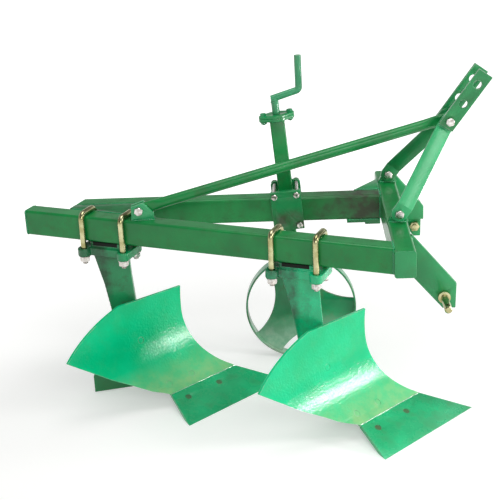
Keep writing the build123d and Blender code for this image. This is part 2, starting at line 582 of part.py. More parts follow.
# ---------------------------------------------------------------- brace
BRACE_REAR = BEAM.from_local_coords((-BRACE_FOOT, TUBE_WIDTH / 2, BRACE_FOOT_HEIGHT))
BRACE_TOP = Vector(MAST_FOOT.X, MAST_Y, MAST_FOOT.Z)
BRACE_RUN = (BRACE_TOP - BRACE_REAR).length
BRACE_DIR = (BRACE_TOP - BRACE_REAR) / BRACE_RUN
brace_side = Vector(0, 0, 1).cross(BRACE_DIR)
brace_side = brace_side / brace_side.length
BRACE_PLANE = Plane(origin=BRACE_REAR, x_dir=BRACE_DIR, z_dir=brace_side)
with BuildPart() as brace:
    with BuildSketch(Plane(origin=BRACE_REAR + BRACE_DIR * BRACE_FLAT_LENGTH, z_dir=BRACE_DIR)):
        Circle(BRACE_DIAMETER / 2)
    extrude(amount=BRACE_RUN - 2 * BRACE_FLAT_LENGTH)
    with BuildSketch(BRACE_PLANE):
        with Locations((BRACE_RUN / 2, 0)):
            SlotOverall(BRACE_RUN + BRACE_EYE, BRACE_EYE)
    extrude(amount=BRACE_FLAT / 2, both=True)
    with BuildSketch(Plane(origin=BRACE_TOP, x_dir=(1, 0, 0), z_dir=(0, 1, 0))):
        Circle(FRAME_BOLT / 2 + 2 * BOLT_HOLE)
    extrude(amount=BRACE_FLAT_LENGTH, both=True, mode=Mode.SUBTRACT)
    with BuildSketch(BRACE_PLANE):
        Circle(FRAME_BOLT / 2 + BOLT_HOLE)
    extrude(amount=BRACE_FLAT_LENGTH, both=True, mode=Mode.SUBTRACT)
    # the eye at the mast is dressed flat between the sleeves
    with BuildSketch(Plane(origin=BRACE_TOP, x_dir=(1, 0, 0), z_dir=(0, 1, 0))):
        Circle(BRACE_EYE / 2 + SLEEVE_WALL)
    extrude(amount=BRACE_FLAT_LENGTH, both=True, mode=Mode.SUBTRACT)
    with BuildSketch(Plane(origin=BRACE_TOP, x_dir=(BRACE_DIR.X, 0, BRACE_DIR.Z), z_dir=(0, -1, 0))):
        with Locations((-BRACE_FLAT_LENGTH / 2, 0)):
            SlotOverall(BRACE_FLAT_LENGTH + BRACE_EYE, BRACE_EYE)
        Circle(FRAME_BOLT / 2 + BOLT_HOLE, mode=Mode.SUBTRACT)
    extrude(amount=BRACE_FLAT / 2, both=True)
save(brace.part, "brace")

# clevis on the main beam: two ears on a base plate
with BuildPart() as brace_clevis:
    base_plane = Plane(
        origin=(BRACE_REAR.X, BRACE_REAR.Y, HEAD_TOP),
        x_dir=(BRACE_DIR.X, BRACE_DIR.Y, 0),
        z_dir=(0, 0, 1),
    )
    clevis_gap = BRACE_FLAT + CLEVIS_GAP
    for sign in (-1, 1):
        with BuildSketch(
            Plane(
                origin=base_plane.from_local_coords((0, sign * (clevis_gap + CLEVIS_PLATE) / 2, 0)),
                x_dir=base_plane.x_dir,
                z_dir=base_plane.y_dir * -1,
            )
        ):
            with BuildLine():
                Polyline(*CLEVIS_OUTLINE, close=True)
            make_face()
            with Locations((0, BRACE_FOOT_HEIGHT)):
                Circle(FRAME_BOLT / 2 + BOLT_HOLE, mode=Mode.SUBTRACT)
        extrude(amount=CLEVIS_PLATE / 2, both=True)
    with BuildSketch(base_plane):
        with Locations(((CLEVIS_OUTLINE[0][0] + CLEVIS_OUTLINE[1][0]) / 2, 0)):
            Rectangle(CLEVIS_BASE[0], clevis_gap + 2 * CLEVIS_PLATE)
    extrude(amount=CLEVIS_BASE[1])
save(brace_clevis.part, "brace_clevis")

with BuildPart() as brace_bolt:
    bolt_half = clevis_gap / 2 + CLEVIS_PLATE
    shank_plane = Plane(origin=BRACE_REAR, x_dir=BRACE_DIR, z_dir=base_plane.y_dir)
    with BuildSketch(shank_plane):
        Circle(FRAME_BOLT / 2)
    extrude(amount=bolt_half, both=True)
    with BuildSketch(shank_plane.offset(-bolt_half)):
        RegularPolygon(FRAME_BOLT * HEX, 6)
    extrude(amount=-FRAME_BOLT_HEAD)
    with BuildSketch(shank_plane.offset(bolt_half)):
        RegularPolygon(FRAME_BOLT * HEX, 6)
    extrude(amount=FRAME_BOLT_NUT)
save(brace_bolt.part, "brace_bolt")

# ---------------------------------------------------------------- plough bodies
# A body's own directions: back along the share's edge, then square to it (back and to the
# land side), then up.  Sections are drawn square to the edge, outlines along it.
EDGE = Vector(-cos(radians(SHARE_ANGLE)), -sin(radians(SHARE_ANGLE)), 0)
BACK = Vector(-sin(radians(SHARE_ANGLE)), cos(radians(SHARE_ANGLE)), 0)
UP = Vector(0, 0, 1)
STEP_BACK = BEAM.x_dir * -BODY_SPACING

FOOT_SLOPE = MOLDBOARD_FOOT_SLOPE
LOWER_RADIUS, LOWER_END = MOLDBOARD_LOWER
UPPER_RADIUS, UPPER_END = MOLDBOARD_UPPER
SEAM = (SHARE_BACK + SEAM_GAP, SHARE_RISE)
# centres of the moldboard's two arcs, in a section
LOWER_CENTRE = (
    SEAM[0] - LOWER_RADIUS * sin(radians(FOOT_SLOPE)),
    SEAM[1] + LOWER_RADIUS * cos(radians(FOOT_SLOPE)),
)
UPPER_CENTRE = (
    LOWER_CENTRE[0] + (LOWER_RADIUS - UPPER_RADIUS) * sin(radians(LOWER_END)),
    LOWER_CENTRE[1] - (LOWER_RADIUS - UPPER_RADIUS) * cos(radians(LOWER_END)),
)


def on_arc(centre, radius, slope):
    """Point of a section arc where the surface has this slope."""
    return (centre[0] + radius * sin(radians(slope)), centre[1] - radius * cos(radians(slope)))


def sheet_section(front, back, top_slope):
    """Section of a curved sheet between two depths behind the moldboard's face."""
    with BuildSketch() as sheet:
        with BuildLine():
            for depth in (front, back):
                CenterArc(LOWER_CENTRE, LOWER_RADIUS + depth, FOOT_SLOPE - 90, LOWER_END - FOOT_SLOPE)
                CenterArc(UPPER_CENTRE, UPPER_RADIUS + depth, LOWER_END - 90, top_slope - LOWER_END)
            for centre, radius, slope in (
                (LOWER_CENTRE, LOWER_RADIUS, FOOT_SLOPE),
                (UPPER_CENTRE, UPPER_RADIUS, top_slope),
            ):
                Line(on_arc(centre, radius + front, slope), on_arc(centre, radius + back, slope))
        make_face()
    return sheet.sketch_local


def face_point(slope):
    """Point of the moldboard's face, in a section, where it has this slope."""
    if slope < LOWER_END:
        return on_arc(LOWER_CENTRE, LOWER_RADIUS, slope)
    return on_arc(UPPER_CENTRE, UPPER_RADIUS, slope)


SHARE_SLOPE = degrees(atan2(SHARE_RISE, SHARE_BACK))
share_under = (
    SHARE_BACK + SHARE_THICKNESS * sin(radians(SHARE_SLOPE)),
    SHARE_RISE - SHARE_THICKNESS * cos(radians(SHARE_SLOPE)),
)
SHARE_FLAT = SHARE_THICKNESS / sin(radians(SHARE_SLOPE))
FROG_FRONT = MOLDBOARD_THICKNESS + FROG_GAP       # depth of the frog's front behind the face
LEG_Y = HEAD_RIGHT + LEG_INSET
pad_rear, pad_front = LANDSIDE_PAD


def landside_y(ahead):
    """Front landside's furrow face, at this distance ahead of the headstock's rear face."""
    return HEAD_RIGHT + LANDSIDE_HEEL[1] + (ahead - LANDSIDE_HEEL[0]) * tan(radians(LANDSIDE_TURN))


def bolt_seats(planes):
    """What is cut away so that each bolt's head lies in the face and its shank passes through."""
    with BuildPart() as seats:
        for plane in planes:
            with BuildSketch(plane.offset(2)):
                Circle(BOLT_HEAD[0] / 2 + BOLT_CLEARANCE)
            extrude(amount=-2 - BOLT_HEAD[1] - BOLT_CLEARANCE)
            with BuildSketch(plane):
                Circle(BOLT_SHANK / 2 + BOLT_CLEARANCE)
            extrude(amount=-BOLT_REACH - 10)
    return seats.part


def room_in_front(section, plan):
    """Space kept by the share, the moldboard and the frog, which the leg and landside stop behind."""
    with BuildPart() as room:
        with BuildSketch(section.offset(-95)):
            add(sheet_section(-60, FROG_FRONT + FROG_THICKNESS, FROG_TOP_SLOPE))
            add(sheet_section(-60, FROG_FRONT, UPPER_END + 6))
        extrude(amount=-585)
        with BuildSketch(plan.offset(-SHARE_RISE)):
            with Locations((SHARE_EDGE / 2, FROG_FOOT[1] / 2)):
                Rectangle(SHARE_EDGE + 70, FROG_FOOT[1])
        extrude(amount=3 * SHARE_RISE / 2)
    return room.part


seam_shin, seam_wing = SHARE_SEAM
for body, index in (("front", 0), ("rear", 1)):
    shift = STEP_BACK * index
    tip = Vector(HEAD_REAR + SHARE_TIP[0], HEAD_RIGHT + SHARE_TIP[1], FLOOR) + shift
    section = Plane(origin=tip, x_dir=BACK, z_dir=EDGE * -1)      # x back, y up
    outline = Plane(origin=tip, x_dir=EDGE, z_dir=BACK)           # x along the edge, y up
    plan = Plane(origin=tip, x_dir=EDGE, z_dir=UP * -1)           # x along the edge, y back
    bolt_planes = [
        Plane(
            origin=tip + EDGE * along + BACK * back + UP * rise,
            x_dir=EDGE,
            z_dir=UP * cos(radians(slope)) - BACK * sin(radians(slope)),
        )
        for along, back, rise, slope in (
            [(along, out, out * tan(radians(SHARE_SLOPE)), SHARE_SLOPE) for along, out in SHARE_BOLTS]
            + [(along, *face_point(slope), slope) for along, slope in MOLDBOARD_BOLTS]
        )
    ]

    with BuildPart() as share:
        with BuildSketch(section):
            with BuildLine():
                Polyline((0, 0), (SHARE_BACK, SHARE_RISE), share_under, (SHARE_FLAT, 0), close=True)
            make_face()
        extrude(amount=-SHARE_EDGE)
        with BuildSketch(plan):
            with BuildLine():
                Polyline(
                    (0, 0),
                    (SHARE_EDGE, 0),
                    (seam_wing, SHARE_BACK),
                    (seam_wing, SHARE_BACK + 20),
                    (seam_shin, SHARE_BACK + 20),
                    (seam_shin, SHARE_BACK),
                    close=True,
                )
            make_face()
        extrude(amount=SHARE_RISE + 10, both=True, mode=Mode.INTERSECT)
        add(bolt_seats(bolt_planes[:2]), mode=Mode.SUBTRACT)
    save(share.part, f"{body}_share")

    with BuildPart() as moldboard:
        with BuildSketch(section.offset(-95)):
            add(sheet_section(0, MOLDBOARD_THICKNESS, UPPER_END))
        extrude(amount=-585)
        with BuildSketch(outline):
            with BuildLine():
                ThreePointArc((seam_shin, SHARE_RISE), *MOLDBOARD_SHIN)
                Polyline(MOLDBOARD_SHIN[1], *MOLDBOARD_TOP)
                ThreePointArc(MOLDBOARD_TOP[1], *MOLDBOARD_WING)
                Polyline(MOLDBOARD_WING[1], *MOLDBOARD_LOW_EDGE, (seam_wing, SHARE_RISE), (seam_wing, 10))
                Polyline((seam_wing, 10), (seam_shin, 10), (seam_shin, SHARE_RISE))
            make_face()
        extrude(amount=400, mode=Mode.INTERSECT)
        add(bolt_seats(bolt_planes[2:]), mode=Mode.SUBTRACT)
    save(moldboard.part, f"{body}_moldboard")

    # frog: a curved casting behind the share and the moldboard
    with BuildPart() as frog:
        with BuildSketch(section.offset(-140)):
            add(sheet_section(FROG_FRONT, FROG_FRONT + FROG_THICKNESS, FROG_TOP_SLOPE))
            with BuildLine():
                heel = on_arc(LOWER_CENTRE, LOWER_RADIUS + FROG_FRONT, FOOT_SLOPE)
                heel_back = on_arc(LOWER_CENTRE, LOWER_RADIUS + FROG_FRONT + FROG_THICKNESS, FOOT_SLOPE)
                under = tan(radians(SHARE_SLOPE))
                foot_front, foot_rear, foot_height = FROG_FOOT
                Polyline(
                    heel,
                    (share_under[0] + FROG_GAP, share_under[1] - FROG_GAP),
                    (foot_front, (foot_front - SHARE_FLAT) * under - FROG_GAP),
                    (foot_front, foot_height),
                    (foot_rear, foot_height),
                    heel_back,
                    close=True,
                )
            make_face()
        extrude(amount=-290)
        with BuildSketch(outline):
            with BuildLine():
                Polyline(*FROG_OUTLINE, close=True)
            make_face()
        extrude(amount=400, mode=Mode.INTERSECT)
        for spot in bolt_planes:
            with BuildSketch(spot.offset(-BOLT_HEAD[1])):
                Circle(BOLT_SHANK / 2 + BOLT_CLEARANCE)
            extrude(amount=-BOLT_REACH - 2, mode=Mode.SUBTRACT)
    save(frog.part, f"{body}_frog")

    # leg: head plate under the beam, blade running down behind the moldboard, landside pad
    leg_origin = Vector(HEAD_REAR, LEG_Y, HEAD_TOP) + shift
    leg_plane = Plane(origin=leg_origin, x_dir=(1, 0, 0), z_dir=(0, -1, 0))
    flange_top = -TUBE_HEIGHT - FLANGE_PAD
    flange_bottom = flange_top - FLANGE_THICKNESS
    mid = sum(UBOLT_POSITIONS) / 2 + BODY_SPACING * index
    with BuildPart() as leg:
        with BuildSketch(leg_plane):
            with BuildLine():
                Polyline(
                    (LEG_HEAD[0], flange_bottom),
                    *LEG_REAR,
                    *LEG_FRONT,
                    (LEG_HEAD[1], flange_bottom),
                    close=True,
                )
            make_face()
        extrude(amount=LEG_THICKNESS / 2, both=True)
        # pad between the blade and the landside
        with BuildSketch(Plane.XY.offset(FLOOR + PAD_LOW)):
            with BuildLine():
                Polyline(
                    (HEAD_REAR + shift.X + pad_rear, LEG_Y + shift.Y),
                    (HEAD_REAR + shift.X + pad_front, LEG_Y + shift.Y),
                    (HEAD_REAR + shift.X + pad_front, landside_y(pad_front) + shift.Y),
                    (HEAD_REAR + shift.X + pad_rear, landside_y(pad_rear) + shift.Y),
                    close=True,
                )
            make_face()
        extrude(amount=PAD_HEIGHT)
        with BuildSketch(beam_plane(mid, TUBE_WIDTH / 2, flange_bottom)):
            pitch = UBOLT_POSITIONS[1] - UBOLT_POSITIONS[0]
            Rectangle(pitch, TUBE_WIDTH + 10)
            with Locations((-pitch / 2, 0), (pitch / 2, 0)):
                SlotOverall(TUBE_WIDTH + 2 * UBOLT_ACROSS + 2 * LUG_RADIUS, 2 * LUG_RADIUS, rotation=90)
        extrude(amount=FLANGE_THICKNESS)
        with BuildSketch(beam_plane(mid, TUBE_WIDTH / 2, flange_top)):
            Rectangle(pitch - 30, TUBE_WIDTH - 6)
        extrude(amount=FLANGE_PAD)
        with BuildSketch(beam_plane(mid, TUBE_WIDTH / 2, flange_bottom)):
            half_across = TUBE_WIDTH / 2 + UBOLT_ACROSS
            for along in (-pitch / 2, pitch / 2):
                with Locations((along, -half_across), (along, half_across)):
                    Circle(UBOLT_ROD / 2 + 1)
        extrude(amount=FLANGE_THICKNESS, mode=Mode.SUBTRACT)
        # room for the moldboard and the frog
        add(room_in_front(section, plan), mode=Mode.SUBTRACT)
    save(leg.part, f"{body}_leg")

    # landside: the rear body's is long and stands on its heel, the front body's is cut short
    turn = radians(LANDSIDE_TURN)
    landside_plane = Plane(
        origin=(HEAD_REAR + LANDSIDE_HEEL[0] + shift.X, HEAD_RIGHT + LANDSIDE_HEEL[1] + shift.Y, FLOOR),
        x_dir=(cos(turn), sin(turn), 0),
        z_dir=(sin(turn), -cos(turn), 0),
    )
    start = LANDSIDE_STARTS[index]
    heel = [(start, 0), (start + 150, LANDSIDE_RISE)] if start == 0 else [(start, LANDSIDE_RISE)]
    with BuildPart() as landside:
        with BuildSketch(landside_plane):
            with BuildLine():
                Polyline(
                    *heel,
                    (LANDSIDE_LENGTH, LANDSIDE_RISE),
                    (LANDSIDE_LENGTH, LANDSIDE_HEIGHT),
                    (start + 26, LANDSIDE_HEIGHT),
                    (start, LANDSIDE_HEIGHT - 22),
                    close=True,
                )
            make_face()
        extrude(amount=-LANDSIDE_THICKNESS)
        add(room_in_front(section, plan), mode=Mode.SUBTRACT)
    save(landside.part, f"{body}_landside")

    # U-bolts round the beam, with a nut under each side of the head plate
    for place, along in (("fore", UBOLT_POSITIONS[0]), ("aft", UBOLT_POSITIONS[1])):
        back = along + BODY_SPACING * index
        bow = beam_plane(back, 0, 0)
        bow_plane = Plane(origin=bow.origin, x_dir=BEAM.y_dir, z_dir=BEAM.x_dir)
        low = flange_bottom - UBOLT_WASHER - UBOLT_NUT - UBOLT_THREAD
        high = UBOLT_ROD / 2 + UBOLT_CLEARANCE
        right_x, left_x = -UBOLT_ACROSS, TUBE_WIDTH + UBOLT_ACROSS
        with BuildPart() as u_bolt:
            with BuildLine(bow_plane):
                bow_points = ((right_x, low), (right_x, high), (left_x, high), (left_x, low))
                FilletPolyline(*bow_points, radius=UBOLT_BEND)
            with BuildSketch(beam_plane(back, right_x, low)):
                Circle(UBOLT_ROD / 2)
            sweep()
            for across in (right_x, left_x):
                with BuildSketch(beam_plane(back, across, flange_bottom)):
                    Circle(UBOLT_ROD * 0.95)
                extrude(amount=-UBOLT_WASHER)
                with BuildSketch(beam_plane(back, across, flange_bottom - UBOLT_WASHER)):
                    RegularPolygon(UBOLT_ROD * HEX, 6)
                extrude(amount=-UBOLT_NUT)
        save(u_bolt.part, f"{body}_{place}_u_bolt")

    with BuildPart() as plough_bolts:
        for spot in bolt_planes:
            with BuildSketch(spot.offset(-BOLT_CLEARANCE)):
                Circle(BOLT_HEAD[0] / 2)
            extrude(amount=-BOLT_HEAD[1])
            with BuildSketch(spot.offset(-BOLT_HEAD[1])):
                Circle(BOLT_SHANK / 2)
            extrude(amount=-BOLT_REACH)
    save(plough_bolts.part, f"{body}_plough_bolts")

# ---------------------------------------------------------------- gauge wheel unit
LEAN = Vector(-sin(radians(POST_LEAN)), 0, cos(radians(POST_LEAN)))
POST_Y = SIDE_LEFT + CLAMP_PLATE + POST_SIZE / 2
POST_TOP_LEVEL = Vector(HEAD_REAR + WHEEL_POST_AHEAD, POST_Y, HEAD_TOP)
# post's own axes: x across the leaning post (ahead), y to the land side, z up along it
POST = Plane(origin=POST_TOP_LEVEL, x_dir=(LEAN.Z, 0, -LEAN.X), z_dir=LEAN)
inner = POST_SIZE - 2 * POST_WALL
leg_size = inner - 2 * LEG_CLEARANCE
WHEEL_Z = FLOOR + WHEEL_DIAMETER / 2
axle_drop = (HEAD_TOP - WHEEL_Z) / LEAN.Z
AXLE = POST.from_local_coords(Vector(0, 0, -axle_drop))

with BuildPart() as wheel_post:
    with BuildSketch(POST.offset(-POST_BELOW)):
        tube_section(POST_SIZE, POST_SIZE, POST_WALL, POST_CORNER)
    extrude(amount=POST_BELOW + POST_ABOVE)
save(wheel_post.part, "wheel_post")

# oval flanges at the top of the post: the lower is welded round it, the upper bolted on
EAR_REACH = POST_SIZE / 2 + EAR_GAP
flange_disc = hypot(POST_SIZE, POST_SIZE) / 2 + FLANGE_MARGIN
# straight sides run from the disc to the ears, along the lines that touch both circles
ear_slope = degrees(acos((flange_disc - EAR_RADIUS) / EAR_REACH))
flange_sides = []
for side in (0, 180):
    ear = Vector(EAR_REACH, 0).rotate(Axis.Z, EAR_TURN + side)
    for centre, radius, sign in (
        (Vector(), flange_disc, 1),
        (ear, EAR_RADIUS, 1),
        (ear, EAR_RADIUS, -1),
        (Vector(), flange_disc, -1),
    ):
        flange_sides.append(centre + Vector(radius, 0).rotate(Axis.Z, EAR_TURN + side - sign * ear_slope))
for name, level in (("post_flange", POST_ABOVE - FLANGE_PLATE), ("post_cap", POST_ABOVE)):
    with BuildPart() as ear_flange:
        with BuildSketch(POST.offset(level)):
            Circle(flange_disc)
            with PolarLocations(EAR_REACH, 2, start_angle=EAR_TURN):
                Circle(EAR_RADIUS)
            with BuildLine():
                Polyline(*flange_sides, close=True)
            make_face()
            with PolarLocations(EAR_REACH, 2, start_angle=EAR_TURN):
                Circle(EAR_BOLT_DIAMETER / 2 + 0.3, mode=Mode.SUBTRACT)
            if name == "post_cap":
                Circle(SCREW_DIAMETER / 2 + CRANK_CLEARANCE, mode=Mode.SUBTRACT)
            else:
                RectangleRounded(POST_SIZE, POST_SIZE, POST_CORNER, mode=Mode.SUBTRACT)
        extrude(amount=FLANGE_PLATE)
    save(ear_flange.part, name)
with BuildPart() as cap_bolts:
    with BuildSketch(POST.offset(POST_ABOVE - FLANGE_PLATE)):
        with PolarLocations(EAR_REACH, 2, start_angle=EAR_TURN):
            Circle(EAR_BOLT_DIAMETER / 2)
    extrude(amount=2 * FLANGE_PLATE)
    for level in (POST_ABOVE - FLANGE_PLATE - EAR_BOLT_HEAD, POST_ABOVE + FLANGE_PLATE):
        with BuildSketch(POST.offset(level)):
            with PolarLocations(EAR_REACH, 2, start_angle=EAR_TURN):
                RegularPolygon(EAR_BOLT_DIAMETER * HEX, 6)
        extrude(amount=EAR_BOLT_HEAD)
save(cap_bolts.part, "post_cap_bolts")

with BuildPart() as crank:
    # screw down the post, collar below the cap, plain end above it, arm and grip
    with BuildSketch(POST.offset(-SCREW_BELOW)):
        Circle(SCREW_DIAMETER / 2)
    extrude(amount=SCREW_BELOW + CRANK_STUB)
    with BuildSketch(POST.offset(POST_ABOVE - CRANK_PLAY)):
        Circle(SCREW_DIAMETER / 2 + SCREW_COLLAR[0])
    extrude(amount=-SCREW_COLLAR[1])
    with BuildSketch(POST.offset(POST_ABOVE + FLANGE_PLATE + CRANK_PLAY)):
        Circle(CRANK_STUB_DIAMETER / 2)
    extrude(amount=CRANK_STUB - POST_ABOVE - FLANGE_PLATE - CRANK_PLAY)
    # arm and grip: one bent rod, welded across the top of the screw
    crank_plane = Plane(origin=POST.origin, x_dir=POST.x_dir, z_dir=POST.y_dir * -1)
    arm_end = Vector(CRANK_ARM, CRANK_STUB + CRANK_RISE)
    arm_dir = (arm_end - Vector(0, CRANK_STUB)).normalized()
    arm_start = Vector(0, CRANK_STUB) - arm_dir * (SCREW_DIAMETER / 2)
    with BuildLine(crank_plane):
        FilletPolyline(
            (arm_start.X, arm_start.Y),
            (arm_end.X, arm_end.Y),
            (arm_end.X + CRANK_GRIP_OUT, arm_end.Y + CRANK_GRIP),
            radius=CRANK_BEND,
        )
    arm_world = POST.x_dir * arm_dir.X + LEAN * arm_dir.Y
    with BuildSketch(
        Plane(origin=crank_plane.from_local_coords((arm_start.X, arm_start.Y, 0)), z_dir=arm_world)
    ):
        Circle(CRANK_ROD / 2)
    sweep()
save(crank.part, "crank")

with BuildPart() as wheel_leg:
    with BuildSketch(POST.offset(-axle_drop - LEG_BELOW_AXLE)):
        RectangleRounded(leg_size, leg_size, POST_CORNER - 1)
    extrude(amount=axle_drop + LEG_BELOW_AXLE + LEG_RISE)
    # bore for the screw
    with BuildSketch(POST.offset(LEG_RISE)):
        Circle(SCREW_DIAMETER / 2 + SCREW_CLEARANCE)
    extrude(amount=-LEG_RISE - SCREW_BORE, mode=Mode.SUBTRACT)
    with BuildSketch(Plane(origin=AXLE, x_dir=(1, 0, 0), z_dir=(0, 1, 0))):
        Circle(AXLE_DIAMETER / 2 + BOLT_HOLE)
    extrude(amount=leg_size, both=True, mode=Mode.SUBTRACT)
save(wheel_leg.part, "wheel_leg")

# axle: head on the inner side of the leg, shoulder, running length, washer and nut
hub_start = POST_Y + leg_size / 2 + AXLE_SHOULDER + AXLE_END_PLAY
hub_end = hub_start + HUB_LENGTH
axle_plane = Plane(origin=(AXLE.X, 0, AXLE.Z), x_dir=(1, 0, 0), z_dir=(0, 1, 0))
with BuildPart() as wheel_axle:
    with BuildSketch(axle_plane.offset(POST_Y - leg_size / 2)):
        Circle(AXLE_DIAMETER / 2)
    extrude(amount=hub_end + AXLE_WASHER + AXLE_NUT - POST_Y + leg_size / 2)
    with BuildSketch(axle_plane.offset(POST_Y - leg_size / 2)):
        RegularPolygon(AXLE_DIAMETER * AXLE_HEX, 6)
    extrude(amount=-AXLE_HEAD)
    with BuildSketch(axle_plane.offset(POST_Y + leg_size / 2)):
        Circle(AXLE_DIAMETER / 2 + 6)
    extrude(amount=AXLE_SHOULDER)
    with BuildSketch(axle_plane.offset(hub_end + AXLE_END_PLAY)):
        Circle(AXLE_DIAMETER / 2 + 7)
    extrude(amount=AXLE_WASHER)
    with BuildSketch(axle_plane.offset(hub_end + AXLE_END_PLAY + AXLE_WASHER)):
        RegularPolygon(AXLE_DIAMETER * AXLE_HEX, 6)
    extrude(amount=AXLE_NUT)
save(wheel_axle.part, "wheel_axle")

wheel_mid = POST_Y + POST_SIZE / 2 + AXLE_SHOULDER + WHEEL_WIDTH / 2
with BuildPart() as gauge_wheel:
    with BuildSketch(axle_plane.offset(wheel_mid - WHEEL_WIDTH / 2)):
        Circle(WHEEL_DIAMETER / 2)
        Circle(WHEEL_DIAMETER / 2 - WHEEL_WALL, mode=Mode.SUBTRACT)
    extrude(amount=WHEEL_WIDTH)
    with BuildSketch(axle_plane.offset(wheel_mid - WEB_THICKNESS / 2)):
        Circle(WHEEL_DIAMETER / 2 - WHEEL_WALL / 2)
        with BuildSketch(mode=Mode.PRIVATE) as openings:
            Circle(WHEEL_DIAMETER / 2 - WHEEL_WALL)
            with BuildSketch(mode=Mode.INTERSECT):
                with PolarLocations(WEB_ARC_OFFSET, 3, start_angle=WEB_START):
                    Circle(WEB_ARC_RADIUS)
        add(openings.sketch, mode=Mode.SUBTRACT)
    extrude(amount=WEB_THICKNESS)
    with BuildSketch(axle_plane.offset(hub_start)):
        Circle(HUB_DIAMETER / 2)
    extrude(amount=HUB_LENGTH)
    with BuildSketch(axle_plane.offset(hub_start)):
        Circle(AXLE_DIAMETER / 2 + AXLE_CLEARANCE)
    extrude(amount=HUB_LENGTH, mode=Mode.SUBTRACT)
save(gauge_wheel.part, "gauge_wheel")

# clamp: a plate on the beam's furrow side and one behind the post are drawn together by four
# bolts, two over the beam and two under it, with a liner between the beam and the post
clamp_centre = POST.origin - LEAN * (TUBE_HEIGHT / 2 / LEAN.Z)
CLAMP = Plane(origin=clamp_centre, x_dir=POST.x_dir, z_dir=(0, -1, 0))
bolt_across = POST_SIZE / 2 + CLAMP_BOLT_GAP + CLAMP_BOLT / 2
bolt_up = TUBE_HEIGHT / 2 + CLAMP_BOLT / 2 + CLAMP_BEAM_GAP + bolt_across * tan(radians(POST_LEAN))
bolt_spots = [(x * bolt_across, z * bolt_up) for x in (-1, 1) for z in (-1, 1)]
clamp_size = (2 * (bolt_across + CLAMP_EDGE), 2 * (bolt_up + CLAMP_EDGE))
near_face = SIDE_RIGHT - CLAMP_PLATE                # y of the near plate's outer face
back_face = POST_Y + POST_SIZE / 2                  # y of the back plate's inner face


def clamp_level(y):
    """The clamp's sketch plane at this y."""
    return CLAMP.offset(POST_Y - y)


for name, start, above in (
    ("wheel_clamp_plate", SIDE_RIGHT, CLAMP_EDGE),
    ("wheel_clamp_back_plate", back_face + CLAMP_PLATE, CLAMP_BACK_EDGE),
):
    with BuildPart() as clamp_plate:
        with BuildSketch(clamp_level(start)):
            with Locations((0, (above - CLAMP_EDGE) / 2)):
                Rectangle(clamp_size[0], clamp_size[1] + above - CLAMP_EDGE)
            with Locations(*bolt_spots):
                Circle(CLAMP_BOLT / 2 + BOLT_HOLE, mode=Mode.SUBTRACT)
        extrude(amount=CLAMP_PLATE)
        if start > SIDE_LEFT:
            corners = clamp_plate.edges().filter_by(Axis.Y).sort_by(Axis.Z)
            chamfer(corners[-2:], length=CLAMP_CORNER)
    save(clamp_plate.part, name)
with BuildPart() as wheel_clamp_liner:
    with BuildSketch(clamp_level(SIDE_LEFT + CLAMP_PLATE)):
        Rectangle(clamp_size[0], 2 * (bolt_up - CLAMP_BOLT / 2 - 1))
    extrude(amount=CLAMP_PLATE)
save(wheel_clamp_liner.part, "wheel_clamp_liner")
with BuildPart() as clamp_bolts:
    for start, radius, length in (
        (near_face, CLAMP_BOLT / 2, back_face + CLAMP_PLATE - near_face),
        (near_face - EAR_BOLT_HEAD, CLAMP_BOLT * HEX, EAR_BOLT_HEAD),
        (back_face + CLAMP_PLATE, CLAMP_BOLT * HEX, CLAMP_NUT),
    ):
        with BuildSketch(clamp_level(start)):
            with Locations(*bolt_spots):
                if radius == CLAMP_BOLT / 2:
                    Circle(radius)
                else:
                    RegularPolygon(radius, 6)
        extrude(amount=-length)
save(clamp_bolts.part, "wheel_clamp_bolts")
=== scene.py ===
# Two-furrow mounted moldboard plough, parked on a pale floor.  Metres, +X is forward, +Y the
# land side, +Z up.  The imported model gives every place; this file gives the finish.
import json
import math
import random

import bmesh
import bpy
from mathutils import Matrix, Vector


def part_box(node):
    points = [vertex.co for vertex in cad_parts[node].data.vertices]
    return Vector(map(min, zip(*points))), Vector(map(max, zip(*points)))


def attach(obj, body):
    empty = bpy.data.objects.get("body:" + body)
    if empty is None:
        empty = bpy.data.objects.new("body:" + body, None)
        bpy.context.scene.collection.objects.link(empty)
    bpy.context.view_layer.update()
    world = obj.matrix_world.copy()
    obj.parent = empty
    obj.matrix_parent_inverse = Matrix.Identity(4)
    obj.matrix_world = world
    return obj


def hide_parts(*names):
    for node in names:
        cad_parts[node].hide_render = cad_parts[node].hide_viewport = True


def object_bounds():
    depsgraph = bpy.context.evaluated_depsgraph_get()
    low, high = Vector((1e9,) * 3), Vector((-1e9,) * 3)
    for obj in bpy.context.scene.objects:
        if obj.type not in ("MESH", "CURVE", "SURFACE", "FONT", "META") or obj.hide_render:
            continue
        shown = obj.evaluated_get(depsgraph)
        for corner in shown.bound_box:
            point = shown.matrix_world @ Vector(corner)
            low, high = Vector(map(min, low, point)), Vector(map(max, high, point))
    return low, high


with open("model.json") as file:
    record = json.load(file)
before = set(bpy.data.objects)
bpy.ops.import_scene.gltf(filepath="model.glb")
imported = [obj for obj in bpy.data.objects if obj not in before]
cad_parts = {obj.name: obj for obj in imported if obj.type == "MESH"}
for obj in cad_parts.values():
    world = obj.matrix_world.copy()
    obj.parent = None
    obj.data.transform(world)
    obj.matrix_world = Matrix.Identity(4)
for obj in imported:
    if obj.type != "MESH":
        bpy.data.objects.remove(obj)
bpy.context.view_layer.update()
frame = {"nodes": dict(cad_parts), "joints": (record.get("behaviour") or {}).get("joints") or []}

# ------------------------------------------------------------------ frame tubes
# Headstock and the two beams: 80 x 60 mm welded steel box section, saw cut and shot blasted.
# They are sprayed with one coat of green machinery enamel, which looks even and half glossy, a
# little rippled, thin on the edges, and dull and brownish where workshop dust has settled into it.
# The side beam has painted shade as well: nearly black brown towards the headstock.


